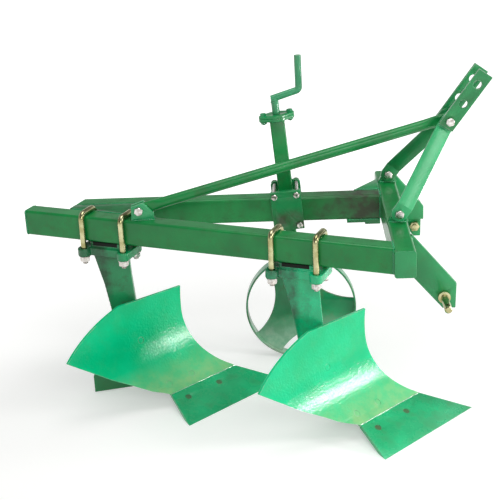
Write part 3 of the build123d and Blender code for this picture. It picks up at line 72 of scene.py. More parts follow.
def rgb(code):
    """A colour written as sRGB hex, as linear red, green, blue and alpha."""
    parts = [int(code[i : i + 2], 16) / 255 for i in (1, 3, 5)]
    return [c / 12.92 if c <= 0.04045 else ((c + 0.055) / 1.055) ** 2.4 for c in parts] + [1.0]


def add_node(tree, kind, settings=None, links=None):
    """Add a node, set its properties and sockets, link its inputs, and give back its output."""
    node = tree.nodes.new("ShaderNode" + kind)
    for key, value in (settings or {}).items():
        if isinstance(key, str) and hasattr(node, key):
            setattr(node, key, value)
        else:
            node.inputs[key].default_value = value
    for key, source in (links or {}).items():
        tree.links.new(source, node.inputs[key])
    return next(socket for socket in node.outputs if socket.enabled)


def enamel(
    name, coat, shade, dust, roughness, dusty=0.5, peel_mm=2.6, peel=0.12, skin_mm=0.0,
    edge_mm=1.5, worn=0.5, bare="#a9cdb0", gloss=0.5, painted_light_patch=None,
):
    """Green enamel sprayed over steel.

    coat and shade are its colours where it lies thick and thin, and dust is the colour of what
    has settled on it, dusty how much.  peel_mm is the width of the ripples and peel their depth,
    and skin_mm is the grain of a casting under them.  The coat has pulled back from sharp edges
    over edge_mm, by the share worn, down to the colour bare.  gloss is how strongly the surface
    shines, and painted_light_patch a patchy band of painted light and shade along one axis: its
    axis, where it starts and is full, its share and colour.
    """
    material = bpy.data.materials.new(name)
    material.use_nodes = True
    tree = material.node_tree
    shader = tree.nodes["Principled BSDF"]
    place = add_node(tree, "TexCoord").node.outputs["Object"]
    # the coat is thicker and thinner in clouds about 90 mm across, with specks of 5 mm in them
    cloud = add_node(tree, "TexNoise", {"Scale": 1000 / 90, "Detail": 3.0}, {"Vector": place})
    flecks = {"Scale": 1000 / 5, "Detail": 4.0, "Roughness": 0.7}
    fleck = add_node(tree, "TexNoise", flecks, {"Vector": place})
    spread = add_node(tree, "MapRange", {"From Min": 0.35, "From Max": 0.65}, {"Value": cloud})
    colour = add_node(tree, "Mix", {"data_type": "RGBA", 6: rgb(shade), 7: rgb(coat)}, {0: spread})
    some = {"From Min": 0.35, "From Max": 0.7, "To Max": 0.45}
    grain = add_node(tree, "MapRange", some, {"Value": fleck})
    colour = add_node(tree, "Mix", {"data_type": "RGBA", 7: rgb(shade)}, {0: grain, 6: colour})
    # dust lies in patches about 40 mm across
    patches = {"Scale": 1000 / 40, "Detail": 8.0, "Roughness": 0.65}
    patch = add_node(tree, "TexNoise", patches, {"Vector": place})
    some = {"From Min": 0.5, "From Max": 0.75, "To Max": dusty}
    settled = add_node(tree, "MapRange", some, {"Value": patch})
    colour = add_node(tree, "Mix", {"data_type": "RGBA", 7: rgb(dust)}, {0: settled, 6: colour})
    # painted light and shade: a patchy band along one axis blends the colour towards a darker or paler
    # tone where shade or light falls
    if painted_light_patch:
        axis, start, full, strength, tone = painted_light_patch
        along = add_node(tree, "SeparateXYZ", {}, {0: place}).node.outputs[axis]
        deeper = {"From Min": start, "From Max": full, "To Max": strength}
        deep = add_node(tree, "MapRange", deeper, {"Value": along})
        some = {"From Min": 0.4, "From Max": 0.6, "To Min": 0.55}
        uneven = add_node(tree, "MapRange", some, {"Value": patch})
        deep = add_node(tree, "Math", {"operation": "MULTIPLY"}, {0: deep, 1: uneven})
        colour = add_node(tree, "Mix", {"data_type": "RGBA", 7: rgb(tone)}, {0: deep, 6: colour})
    # sharp edges: the rounded normal differs from the true one only beside them
    rounded = add_node(tree, "Bevel", {"samples": 6, "Radius": edge_mm / 1000})
    true = add_node(tree, "NewGeometry").node.outputs["Normal"]
    facing = add_node(tree, "VectorMath", {"operation": "DOT_PRODUCT"}, {0: rounded, 1: true})
    turned_off = {"From Min": 0.995, "From Max": 0.86, "To Max": worn}
    edge = add_node(tree, "MapRange", turned_off, {"Value": facing.node.outputs["Value"]})
    chips = add_node(tree, "MapRange", {"From Min": 0.42, "From Max": 0.6}, {"Value": patch})
    edge = add_node(tree, "Math", {"operation": "MULTIPLY"}, {0: edge, 1: chips})
    colour = add_node(tree, "Mix", {"data_type": "RGBA", 7: rgb(bare)}, {0: edge, 6: colour})
    tree.links.new(colour, shader.inputs["Base Color"])
    dull = add_node(tree, "Math", {"operation": "MULTIPLY_ADD", 1: 0.45, 2: roughness}, {0: settled})
    tree.links.new(dull, shader.inputs["Roughness"])
    ripples = {"Scale": 1000 / (2 * peel_mm), "Detail": 1.0}
    ripple = add_node(tree, "TexNoise", ripples, {"Vector": place})
    normal = add_node(tree, "Bump", {"Strength": peel, "Distance": 0.001}, {"Height": ripple})
    if skin_mm:
        grains = {"Scale": 1000 / (2 * skin_mm), "Detail": 6.0}
        sand = add_node(tree, "TexNoise", grains, {"Vector": place})
        depth = {"Strength": 0.5, "Distance": 0.0008}
        normal = add_node(tree, "Bump", depth, {"Height": sand, "Normal": normal})
    tree.links.new(normal, shader.inputs["Normal"])
    shader.inputs["IOR"].default_value = 1.5
    shader.inputs["Specular IOR Level"].default_value = gloss
    shader.inputs["Coat Weight"].default_value = gloss / 2
    shader.inputs["Coat Roughness"].default_value = 0.12
    return material


frame_enamel = enamel(
    "green_enamel_on_tube", "#078f43", "#057a39", "#3f4f2b", 0.34, dusty=0.35, gloss=0.38
)
# the same coat with painted shade: nearly black brown on the side beam towards the headstock; it is also a
# little more matt
painted_shade_enamel = enamel(
    "green_enamel_with_painted_shade", "#078f43", "#057a39", "#33361f", 0.4, dusty=0.35, gloss=0.38,
    painted_light_patch=("X", -0.48, -0.22, 0.85, "#2e2616"),
)
for node, finish in (
    ("headstock_tube", frame_enamel), ("main_beam", frame_enamel), ("side_beam", painted_shade_enamel),
):
    mesh = frame["nodes"][node].data
    mesh.materials.clear()
    mesh.materials.append(finish)

# ------------------------------------------------------------------ plates on the tubes
# End caps, the corner wedge, the gusset and the plate under the side beam: flame-cut and sawn
# plate, its edges knocked off with a grinder, MIG welded on and sprayed with the tubes.  The end
# caps and gusset are painted a shade lighter than the tubes, as painted light, with thin pale
# lines along the ground edges; the wedge and the under plate are painted darker, as painted shade.


def piece(name, mesh, body, slot, finish, *stands_for, sharp=35):
    """Make an object of a mesh, with its finish, its body and the nodes it stands for; slot is not used.
    """
    mesh.materials.clear()
    mesh.materials.append(finish)
    mesh.shade_smooth()
    mesh.set_sharp_from_angle(angle=math.radians(sharp))
    made = bpy.data.objects.new(name, mesh)
    bpy.context.scene.collection.objects.link(made)
    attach(made, body)
    if stands_for:
        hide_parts(*stands_for)
    return made


def shaped(name, mesh, *steps):
    """The mesh after a list of modifiers, each a type and its settings."""
    blank = bpy.data.objects.new(name, mesh)
    bpy.context.scene.collection.objects.link(blank)
    for kind, settings in steps:
        modifier = blank.modifiers.new(kind.lower(), kind)
        for key, value in settings.items():
            setattr(modifier, key, value)
    graph = bpy.context.evaluated_depsgraph_get()
    result = bpy.data.meshes.new_from_object(blank.evaluated_get(graph))
    result.name = name
    bpy.data.objects.remove(blank)
    return result


def plain_copy(node):
    """A copy of a node's mesh with its triangles merged into whole faces."""
    mesh = frame["nodes"][node].data.copy()
    work = bmesh.new()
    work.from_mesh(mesh)
    bmesh.ops.remove_doubles(work, verts=work.verts, dist=1e-6)
    flat = math.radians(0.6)
    bmesh.ops.dissolve_limit(work, angle_limit=flat, verts=work.verts, edges=work.edges)
    work.to_mesh(mesh)
    work.free()
    return mesh


def ground(node, finish, edge=0.0012, body="frame", slot="green_paint"):
    """The node with its sharp edges ground round."""
    corner = math.radians(30)
    mesh = shaped(
        node + "_ground",
        plain_copy(node),
        ("BEVEL", {"width": edge, "segments": 2, "limit_method": "ANGLE", "angle_limit": corner}),
        ("WEIGHTED_NORMAL", {"keep_sharp": True}),
    )
    return piece(node + "_ground", mesh, body, slot, finish, node)


# painted light: the same spray as the tubes, but a lighter green
lighter_plate_enamel = enamel(
    "green_enamel_on_plate_painted_lighter", "#0c9a56", "#098648", "#46582f", 0.32, dusty=0.25, worn=0.75
)
# the wedge and the plate under the beam carry more dust and are hardly glossy; their darker green is
# painted shade, in the corner between the beams and under the side beam
dull_enamel = enamel(
    "dusty_green_enamel_painted_shade", "#0b7c40", "#086a36", "#333d22", 0.5, dusty=0.6, worn=0.5
)
for node in ("headstock_end_caps", "beam_end_caps", "side_beam_top_gusset"):
    ground(node, lighter_plate_enamel)
for node in ("beam_corner_wedge", "side_beam_under_plate"):
    ground(node, dull_enamel)


def skin(shell, rings):
    """Add to a shell the surface through equal rings of points, closed at both ends."""
    points, faces = shell
    first, count = len(points), len(rings[0])
    points.extend(point for ring in rings for point in ring)
    for row in range(len(rings) - 1):
        for i in range(count):
            j = (i + 1) % count
            low, high = first + row * count, first + (row + 1) * count
            faces.append((low + i, low + j, high + j, high + i))
    faces.append(tuple(first + i for i in reversed(range(count))))
    faces.append(tuple(first + (len(rings) - 1) * count + i for i in range(count)))


def across(axis):
    """Two directions square to an axis and to each other."""
    side = axis.cross(Vector((0, 0, 1)) if abs(axis.z) < 0.9 else Vector((1, 0, 0))).normalized()
    return side, axis.cross(side)


def shell_mesh(name, shell):
    """A mesh of a shell, which is its points and its faces."""
    mesh = bpy.data.meshes.new(name)
    mesh.from_pydata([tuple(point) for point in shell[0]], [], shell[1])
    mesh.validate()
    return mesh


BEAD_STEP = 0.0016            # between the rings of a bead
BEAD_PITCH = 0.0055           # between the ripples that the torch left
bead_luck = random.Random(7)


def bead(shell, corners, size=0.004, closed=False):
    """A weld bead laid along straight runs: rippled, uneven, and tapered where it stops."""
    stops = list(corners) + ([corners[0]] if closed else [])
    for start, end in zip(stops, stops[1:]):
        run = end - start
        length = run.length
        if length < 2 * BEAD_STEP:
            continue
        axis = run / length
        side, up = across(axis)
        rings = []
        count = max(4, int(length / BEAD_STEP))
        swell = bead_luck.uniform(0, 6)
        for i in range(count + 1):
            at = length * i / count
            phase = (at / BEAD_PITCH) % 1.0
            wide = 0.86 + 0.16 * math.sin(math.pi * phase) + 0.1 * math.sin(at * 90 + swell)
            wide *= size
            wide *= 0.97 + 0.06 * bead_luck.random()
            wide *= min(1.0, 0.35 + min(at, length - at) / (2 * size))
            middle = start + axis * at
            rings.append([
                middle + (side * math.cos(turn) + up * math.sin(turn)) * wide
                for turn in (math.tau * k / 9 for k in range(9))
            ])
        skin(shell, rings)


def welds(name, runs, body="frame", size=0.004):
    """One piece of all the beads on a joint; each run is its corners and whether it is closed."""
    shell = ([], [])
    for corners, closed in runs:
        bead(shell, [Vector(corner) for corner in corners], size, closed)
    return piece(name, shell_mesh(name, shell), body, "green_paint", weld_enamel, sharp=60)


# enamel over a rough bead: it lies thick in the ripples and glints on their backs
weld_enamel = enamel(
    "green_enamel_on_weld", "#159a5e", "#0f8650", "#5a6040", 0.26,
    dusty=0.35, edge_mm=1.0, worn=0.5, peel=0.3,
)
BEAM_TURN = math.radians(20.8)
BEAM_LENGTH = 1.197
TUBE_DEPTH = 0.080
END_CAP = 0.005
head_low, head_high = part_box("headstock_tube")
caps_low, caps_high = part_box("headstock_end_caps")
main_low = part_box("main_beam")[0]
side_low, side_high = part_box("side_beam")
wedge_low, wedge_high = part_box("beam_corner_wedge")
TUBE = head_high.x - head_low.x
beam_ahead = Vector((math.cos(BEAM_TURN), -math.sin(BEAM_TURN), 0))
beam_side = Vector((math.sin(BEAM_TURN), math.cos(BEAM_TURN), 0))


def on_beam(back, over, up):
    """A place on the main beam: back from the headstock, over from its right side, up from its top."""
    start = Vector((head_low.x, main_low.y, head_high.z))
    return start - beam_ahead * back + beam_side * over + Vector((0, 0, up))


BEAD_IN = 0.002               # a level bead's middle lies this far below a tube's top face
CORNER_IN = 0.003             # an upright bead stops this far short of a tube's corners
CAP_IN = 0.004                # a bead round an end cap is this far in from top and bottom


def cap_round(y):
    """The four corners of the bead round an end cap of the headstock."""
    low, high = head_low.z + CAP_IN, head_high.z - CAP_IN
    rear, front = head_low.x + CORNER_IN, head_high.x - CORNER_IN
    return [(rear, y, low), (front, y, low), (front, y, high), (rear, y, high)]


joint_left = main_low.y + TUBE / math.cos(BEAM_TURN)
joint_runs = []
# each beam is welded to the headstock's rear face up one side, over the top and down the other
for near, far in ((main_low.y, joint_left), (side_low.y, side_high.y)):
    foot, corner, top = head_low.z + CORNER_IN, head_high.z - CORNER_IN, head_high.z - BEAD_IN
    joint_runs += [
        ([(head_low.x, near, foot), (head_low.x, near, corner)], False),
        ([(head_low.x, near, top), (head_low.x, far, top)], False),
        ([(head_low.x, far, foot), (head_low.x, far, corner)], False),
    ]
welds("frame_tube_welds", joint_runs, size=0.0042)
cap_low, cap_high = BEAD_IN - TUBE_DEPTH, -BEAD_IN
beam_rear = [
    on_beam(BEAM_LENGTH - END_CAP, over, up)
    for over, up in ((0, cap_low), (0, cap_high), (TUBE, cap_high), (TUBE, cap_low))
]
welds("end_cap_welds", [
    (cap_round(caps_low.y + END_CAP), True),
    (cap_round(caps_high.y - END_CAP), True),
    (beam_rear, True),
], size=0.0022)
gusset_low, gusset_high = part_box("side_beam_top_gusset")
under_low, under_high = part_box("side_beam_under_plate")
WEDGE_BEAD = (1.06, 0.83)     # back along the main beam, where the wedge's bead starts and stops
WEDGE_TAIL = 0.03             # the bead on the side beam starts this far from the wedge's end
PLATE_BEAD_LOW = 0.001        # beads of the gusset and under plate: this far below the tube's face
gusset_z, under_z = head_high.z - PLATE_BEAD_LOW, head_low.z - PLATE_BEAD_LOW
wedge_z = head_high.z - BEAD_IN
welds("corner_plate_welds", [(ends, False) for ends in (
    [(gusset_low.x, side_high.y, gusset_z), (gusset_high.x, side_high.y, gusset_z)],
    [(head_low.x, gusset_low.y, gusset_z), (head_low.x, gusset_high.y, gusset_z)],
    [on_beam(back, TUBE, -BEAD_IN) for back in WEDGE_BEAD],
    [(wedge_low.x + WEDGE_TAIL, side_low.y, wedge_z), (wedge_high.x, side_low.y, wedge_z)],
    [(under_low.x, under_low.y, under_z), (under_high.x, under_low.y, under_z)],
    [(under_low.x, under_high.y, under_z), (under_high.x, under_high.y, under_z)],
)], size=0.003)

# ------------------------------------------------------------------ lower hitch plates
# Two 16 mm flame-cut plates stand out from the front of the headstock and carry the lower pins;
# a doubler stiffens the left one.  Fillet welds run down both sides of the right plate, and down
# the inner sides of the left plate and its doubler.
for node in ("right_hitch_plate", "left_hitch_plate", "left_hitch_doubler"):
    ground(node, lighter_plate_enamel, edge=0.0014)
right_low, right_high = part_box("right_hitch_plate")
left_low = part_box("left_hitch_plate")[0]
doubler_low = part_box("left_hitch_doubler")[0]
HITCH_BEAD_IN = (0.002, 0.004)    # from the headstock's bottom face and from its top face
foot, corner = head_low.z + HITCH_BEAD_IN[0], head_high.z - HITCH_BEAD_IN[1]
welds("hitch_plate_welds", [
    ([(head_high.x, y, foot), (head_high.x, y, corner)], False)
    for y in (right_low.y, right_high.y, left_low.y, doubler_low.y)
], size=0.0045)

# ------------------------------------------------------------------ lower hitch pins
# Category 1 pins, 22 mm: turned from bar with a collar, a drilled tail and a threaded end with a
# nut, then zinc plated and yellow passivated, which leaves a pale gold, cloudy, softly shining skin.


def plated(name, light, dark, tint, roughness, blotch_mm, mark_mm=0.5):
    """Zinc on steel: a metal with cloudy colour, matt blotches and fine drawing marks."""
    material = bpy.data.materials.new(name)
    material.use_nodes = True
    tree = material.node_tree
    shader = tree.nodes["Principled BSDF"]
    place = add_node(tree, "TexCoord").node.outputs["Object"]
    blotch = add_node(tree, "TexNoise", {"Scale": 1000 / blotch_mm, "Detail": 5.0}, {"Vector": place})
    spread = add_node(tree, "MapRange", {"From Min": 0.35, "From Max": 0.65}, {"Value": blotch})
    colour = add_node(tree, "Mix", {"data_type": "RGBA", 6: rgb(dark), 7: rgb(light)}, {0: spread})
    films = {"Scale": 1000 / (3 * blotch_mm), "Detail": 2.0, "Distortion": 1.5}
    film = add_node(tree, "TexNoise", films, {"Vector": place})
    some = {"From Min": 0.5, "From Max": 0.7, "To Max": 0.6}
    film = add_node(tree, "MapRange", some, {"Value": film})
    colour = add_node(tree, "Mix", {"data_type": "RGBA", 7: rgb(tint)}, {0: film, 6: colour})
    tree.links.new(colour, shader.inputs["Base Color"])
    matt = add_node(tree, "Math", {"operation": "MULTIPLY_ADD", 1: 0.18, 2: roughness - 0.09}, {0: blotch})
    tree.links.new(matt, shader.inputs["Roughness"])
    marks = {"Scale": 1000 / (2 * mark_mm), "Detail": 3.0}
    mark = add_node(tree, "TexNoise", marks, {"Vector": place})
    normal = add_node(tree, "Bump", {"Strength": 0.25, "Distance": 0.0004}, {"Height": mark})
    tree.links.new(normal, shader.inputs["Normal"])
    shader.inputs["Metallic"].default_value = 1.0
    return material


yellow_zinc = plated("yellow_passivated_zinc", "#c9c69c", "#9d9768", "#b3ad84", 0.24, 22.0)
# bright zinc barrel-plated on bolts and nuts: a whiter, slightly warm grey in smaller blotches
bright_zinc = plated("bright_zinc", "#e2dfdc", "#b3aca6", "#cdc2b8", 0.27, 8.0)
for node in ("right_hitch_pin", "left_hitch_pin"):
    ground(node, yellow_zinc, edge=0.0008, slot="yellow_zinc")

# ------------------------------------------------------------------ mast ears
# Two ears flame cut from 12 mm plate stand on the headstock and take the A-frame's two lower
# bolts.  Each is welded along both sides of its foot and across the front.
for node in ("right_mast_ear", "left_mast_ear"):
    ground(node, lighter_plate_enamel, edge=0.0014)
ear_feet = [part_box(node) for node in ("right_mast_ear", "left_mast_ear")]
EAR_BEAD_IN = (0.002, 0.001)      # from the foot's rear end and from its front end
welds("mast_ear_welds", [
    ([(low.x + EAR_BEAD_IN[0], y, low.z), (high.x - EAR_BEAD_IN[1], y, low.z)], False)
    for low, high in ear_feet for y in (low.y, high.y)
] + [
    ([(high.x, low.y, low.z), (high.x, high.y, low.z)], False) for low, high in ear_feet
], size=0.0045)

# ------------------------------------------------------------------ A-frame bars and mast
# Flat bars of 48 x 10 mm bent cold at both ends run up from the ears to two upright mast plates,
# which have drilled holes for the top link.  Their sharp edges shed the coat, so the plates and the
# left bar have a pale outline.
worn_edge_enamel = enamel(
    "green_enamel_worn_at_edges", "#0b8848", "#08743c", "#46582f", 0.36,
    dusty=0.3, worn=0.95, edge_mm=2.6,
)
# the right bar and the brace's clevis are a pale green, half matt: painted light for the bright sheen that
# falls on the right bar, which the clevis shares
sheen_bar_enamel = enamel(
    "green_enamel_on_flat_bar_painted_sheen", "#34b070", "#1f9c5e", "#6f9a72", 0.38,
    dusty=0.25, worn=0.9, edge_mm=2.2,
)
for node, finish in (("right_mast_bar", sheen_bar_enamel), ("left_mast_bar", worn_edge_enamel)):
    ground(node, finish, edge=0.0012)
for node in ("right_mast_plate", "left_mast_plate"):
    ground(node, worn_edge_enamel, edge=0.0012)

# ------------------------------------------------------------------ bolts of the A-frame
# M16 bright zinc hexagon bolts hold the bars to the ears and to the mast, each with a washer under
# its nut; two steel sleeves on the foot bolt keep the brace's eye in the middle.


def turned(shell, base, axis, profile, sides=32):
    """A turned shape: its profile is (radius, distance along the axis) from one end to the other."""
    side, up = across(axis)
    skin(shell, [
        [
            base + axis * along + (side * math.cos(turn) + up * math.sin(turn)) * max(radius, 1e-5)
            for turn in (math.tau * k / sides for k in range(sides))
        ]
        for radius, along in profile
    ])


def hexagon(shell, base, axis, corner, height, both=False, turn=0.3):
    """A hexagon head or nut, with the 30 degree chamfer that trims its corners to a curve."""
    side, up = across(axis)
    flat = corner * math.cos(math.pi / 6)
    crown = flat * 0.94
    rings = [[], [], [], []]
    for k in range(48):
        angle = math.tau * k / 48
        reach = flat / math.cos((angle % (math.pi / 3)) - math.pi / 6)
        out = side * math.cos(angle + turn) + up * math.sin(angle + turn)
        trim = (reach - crown) * math.tan(math.pi / 6)
        rings[0].append(base + out * (crown if both else reach))
        rings[1].append(base + out * reach + axis * (trim if both else 0.0002))
        rings[2].append(base + out * reach + axis * (height - trim))
        rings[3].append(base + out * crown + axis * height)
    skin(shell, rings)


def thread(shell, base, axis, radius, length, pitch=0.002):
    """A threaded end: one helical groove, with the last turn chamfered."""
    side, up = across(axis)
    rows = max(4, int(length / pitch * 5))
    rings = []
    for row in range(rows + 1):
        along = length * row / rows
        trim = max(0.0, along - length + pitch * 0.8)
        ring = []
        for k in range(24):
            angle = math.tau * k / 24
            groove = abs(2 * ((along / pitch - k / 24) % 1.0) - 1)
            reach = radius - 0.55 * pitch * groove - trim
            ring.append(base + axis * along + (side * math.cos(angle) + up * math.sin(angle)) * reach)
        rings.append(ring)
    skin(shell, rings)


def solids_of(node):
    """Each separate solid of a node: its points, and the middle and normal of its largest flat."""
    work = bmesh.new()
    work.from_mesh(frame["nodes"][node].data)
    bmesh.ops.remove_doubles(work, verts=work.verts, dist=1e-6)
    work.faces.ensure_lookup_table()
    found, seen = [], set()
    for first in work.faces:
        if first.index in seen:
            continue
        group, stack = [], [first]
        seen.add(first.index)
        while stack:
            face = stack.pop()
            group.append(face)
            for edge in face.edges:
                for other in edge.link_faces:
                    if other.index not in seen:
                        seen.add(other.index)
                        stack.append(other)
        flats = {}
        for face in group:
            level = face.normal.dot(face.calc_center_median())
            key = tuple(round(c, 2) for c in face.normal) + (round(level, 4),)
            area, middle, normal = flats.get(key, (0.0, Vector(), Vector()))
            extent = face.calc_area()
            middle = middle + face.calc_center_median() * extent
            flats[key] = (area + extent, middle, normal + face.normal * extent)
        area, middle, normal = max(flats.values(), key=lambda flat: flat[0])
        # in the mesh's own order, so that their sum comes out the same each run
        corners = dict.fromkeys(vert for face in group for vert in face.verts)
        points = [vert.co.copy() for vert in corners]
        found.append((points, middle / area, normal.normalized()))
    work.free()
    return found


def hex_bolts(node, size, head, nut, toward, finish, slot, body="frame", spare=0.0, washer=0.0022):
    """Hexagon bolts with chamfered heads, washers, nuts and threaded ends, in place of a node.

    toward is the side that the heads are on; spare is how far the thread stands out of the nut.
    """
    shell = ([], [])
    name = node + "_made"
    for points, middle, normal in solids_of(node):
        axis = normal if normal.dot(Vector(toward)) < 0 else -normal
        centre = sum(points, Vector()) / len(points)
        reach = [point.dot(axis) for point in points]
        low, high = min(reach), max(reach)
        # the bolt's own line passes through the middle of its points
        line = centre - axis * centre.dot(axis)
        hexagon(shell, line + axis * (low + head), -axis, size * 0.85, head)
        shank = high - low - head - nut
        turned(shell, line + axis * (low + head), axis, [(size / 2, 0), (size / 2, shank)])
        face = high - nut
        wide = size * 0.98
        turned(
            shell, line + axis * face, axis,
            [(wide - 0.0004, 0), (wide, 0.0004), (wide, washer - 0.0004), (wide - 0.0004, washer)],
        )
        hexagon(shell, line + axis * (face + washer), axis, size * 0.85, nut - washer, both=True, turn=0.8)
        if spare:
            thread(shell, line + axis * high, axis, size / 2 - 0.0003, spare)
    return piece(name, shell_mesh(name, shell), body, slot, finish, node)


M16 = (0.016, 0.010, 0.013)   # the bolt, its head's height, and its nut's with the washer
M12 = (0.012, 0.008, 0.010)
RIGHT = (0, -1, 0)            # the side that their heads are on
for node in ("right_ear_bolt", "left_ear_bolt", "mast_foot_bolt"):
    hex_bolts(node, *M16, RIGHT, bright_zinc, "bright_zinc", spare=0.005)
ground("mast_sleeves", lighter_plate_enamel, edge=0.0006)

# ------------------------------------------------------------------ brace
# A 32 mm tube pressed flat at both ends into eyes, from the mast down to a clevis on the main
# beam.  The clevis is two cheeks on a small base, welded to the beam, with an M16 bolt through.
BRACE_RADIUS = 0.016
BRACE_BOLT = (0.805, 0.030)   # the clevis's bolt: back along the main beam, and above it
EYE = (0.017, 0.0058)         # half the width and half the thickness of a flattened eye
FLAT_TO = 0.026               # the eye is flat this far from its bolt
ROUND_FROM = 0.085            # and the tube is round again from here
BRACE_BEND = 0.07             # the eye at the mast turns square to its bolt over this length
BRACE_RINGS = 140
CROWDING = 0.92               # how closely the rings crowd at the two ends, where the tube changes
brace_foot = on_beam(BRACE_BOLT[0], TUBE / 2, BRACE_BOLT[1])
sleeve_low, sleeve_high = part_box("mast_sleeves")
brace_top = (sleeve_low + sleeve_high) / 2
brace_run = (brace_top - brace_foot).length
brace_axis = (brace_top - brace_foot) / brace_run
brace_side = Vector((0, 0, 1)).cross(brace_axis).normalized()
rings = []
for step in range(BRACE_RINGS + 1):
    share = step / BRACE_RINGS
    spaced = share - math.sin(math.tau * share) / math.tau * CROWDING
    at = -EYE[0] + (brace_run + 2 * EYE[0]) * spaced
    near = min(at, brace_run - at)
    rounding = min(1.0, max(0.0, (near - FLAT_TO) / (ROUND_FROM - FLAT_TO)))
    rounding = rounding * rounding * (3 - 2 * rounding)
    tall = EYE[0] + (BRACE_RADIUS - EYE[0]) * rounding
    thick = EYE[1] + (BRACE_RADIUS - EYE[1]) * rounding
    if near < 0:
        tall *= math.sqrt(max(0.0004, 1 - (near / EYE[0]) ** 2))
    middle = brace_foot + brace_axis * at
    bend = min(1.0, max(0.0, 1 - (brace_run - at) / BRACE_BEND))
    bend = bend * bend * (3 - 2 * bend)
    middle.y += (brace_top.y - middle.y) * bend
    side = (brace_side * (1 - bend) + Vector((0, 1, 0)) * bend).normalized()
    axis = (brace_axis - side * brace_axis.dot(side)).normalized()
    up = side.cross(axis) * -1
    # a flattened eye has nearly square corners, and the tube is round
    power = 0.55 + 0.45 * rounding
    ring = []
    for k in range(36):
        c, s = math.cos(math.tau * k / 36), math.sin(math.tau * k / 36)
        ring.append(
            middle
            + up * tall * math.copysign(abs(s) ** power, s)
            + side * thick * math.copysign(abs(c) ** power, c)
        )
    rings.append(ring)
shell = ([], [])
skin(shell, rings)
brace_mesh = shell_mesh("brace_pressed_tube", shell)
piece("brace_pressed_tube", brace_mesh, "frame", "green_paint", frame_enamel, "brace")
ground("brace_clevis", sheen_bar_enamel, edge=0.0014)
hex_bolts("brace_bolt", *M16, RIGHT, bright_zinc, "bright_zinc", spare=0.005)
clevis_ahead = Vector((brace_axis.x, brace_axis.y, 0)).normalized()
clevis_side = Vector((0, 0, 1)).cross(clevis_ahead)
clevis_mid = Vector((brace_foot.x, brace_foot.y, head_high.z))
CLEVIS_BASE = (-0.022, 0.046)     # the ends of its base, along the brace from the bolt
CLEVIS_HALF = 0.0145              # from the middle of the base out to a bead
welds("brace_clevis_welds", [(
    [clevis_mid + clevis_ahead * along + clevis_side * over for along, over in (
        (CLEVIS_BASE[0], -CLEVIS_HALF), (CLEVIS_BASE[1], -CLEVIS_HALF),
        (CLEVIS_BASE[1], CLEVIS_HALF), (CLEVIS_BASE[0], CLEVIS_HALF),
    )], True,
)], size=0.0042)

# ------------------------------------------------------------------ legs and frogs
# Each body hangs on a cast steel leg: a head plate with four lugs, and a blade that curves down to
# the landside.  The frog is a dished casting bolted behind the share and the moldboard.  Enamel
# went straight over the sand-cast skin and rounded corners, so its shine breaks up in small grains.
# the front castings are painted a light green, as painted light, and the dark band over the rear quarter
# of the leg is painted shade
cast_enamel = enamel(
    "green_enamel_on_casting_painted_light_and_shade", "#0ed292", "#0aae72", "#3f4a2c", 0.26,
    dusty=0.5, skin_mm=2.2, peel=0.2, edge_mm=3.0, worn=0.4, painted_light_patch=("X", -0.415, -0.434, 0.9, "#0d3b1c"),
)
# the rear body's castings are dustier, with brownish patches, and painted a darker green as painted shade;
# the dark band over the rear quarter of its leg is painted shade too
dusty_shaded_cast_enamel = enamel(
    "dusty_enamel_on_casting_painted_shade", "#0a9a5c", "#087c48", "#2f3a20", 0.34,
    dusty=0.8, skin_mm=2.2, peel=0.2, edge_mm=3.0, worn=0.4, painted_light_patch=("X", -0.998, -1.017, 0.8, "#0d3b1c"),
)
HEAD_MIDDLE = 0.293           # from the headstock back to the middle of the front leg's head
BODY_SPACING = 0.624          # along the main beam, from one body to the next
HOLLOW_LENGTH, HOLLOW_DEPTH = 0.082, 0.009
HOLLOW_SIDES = (-0.05, TUBE * 0.6)    # across the beam, from its right side
HOLLOW_CUT = 0.020                # the cutter stands this far up into the beam
VOXEL = 0.0026                    # the grid that the rounded castings are rebuilt on
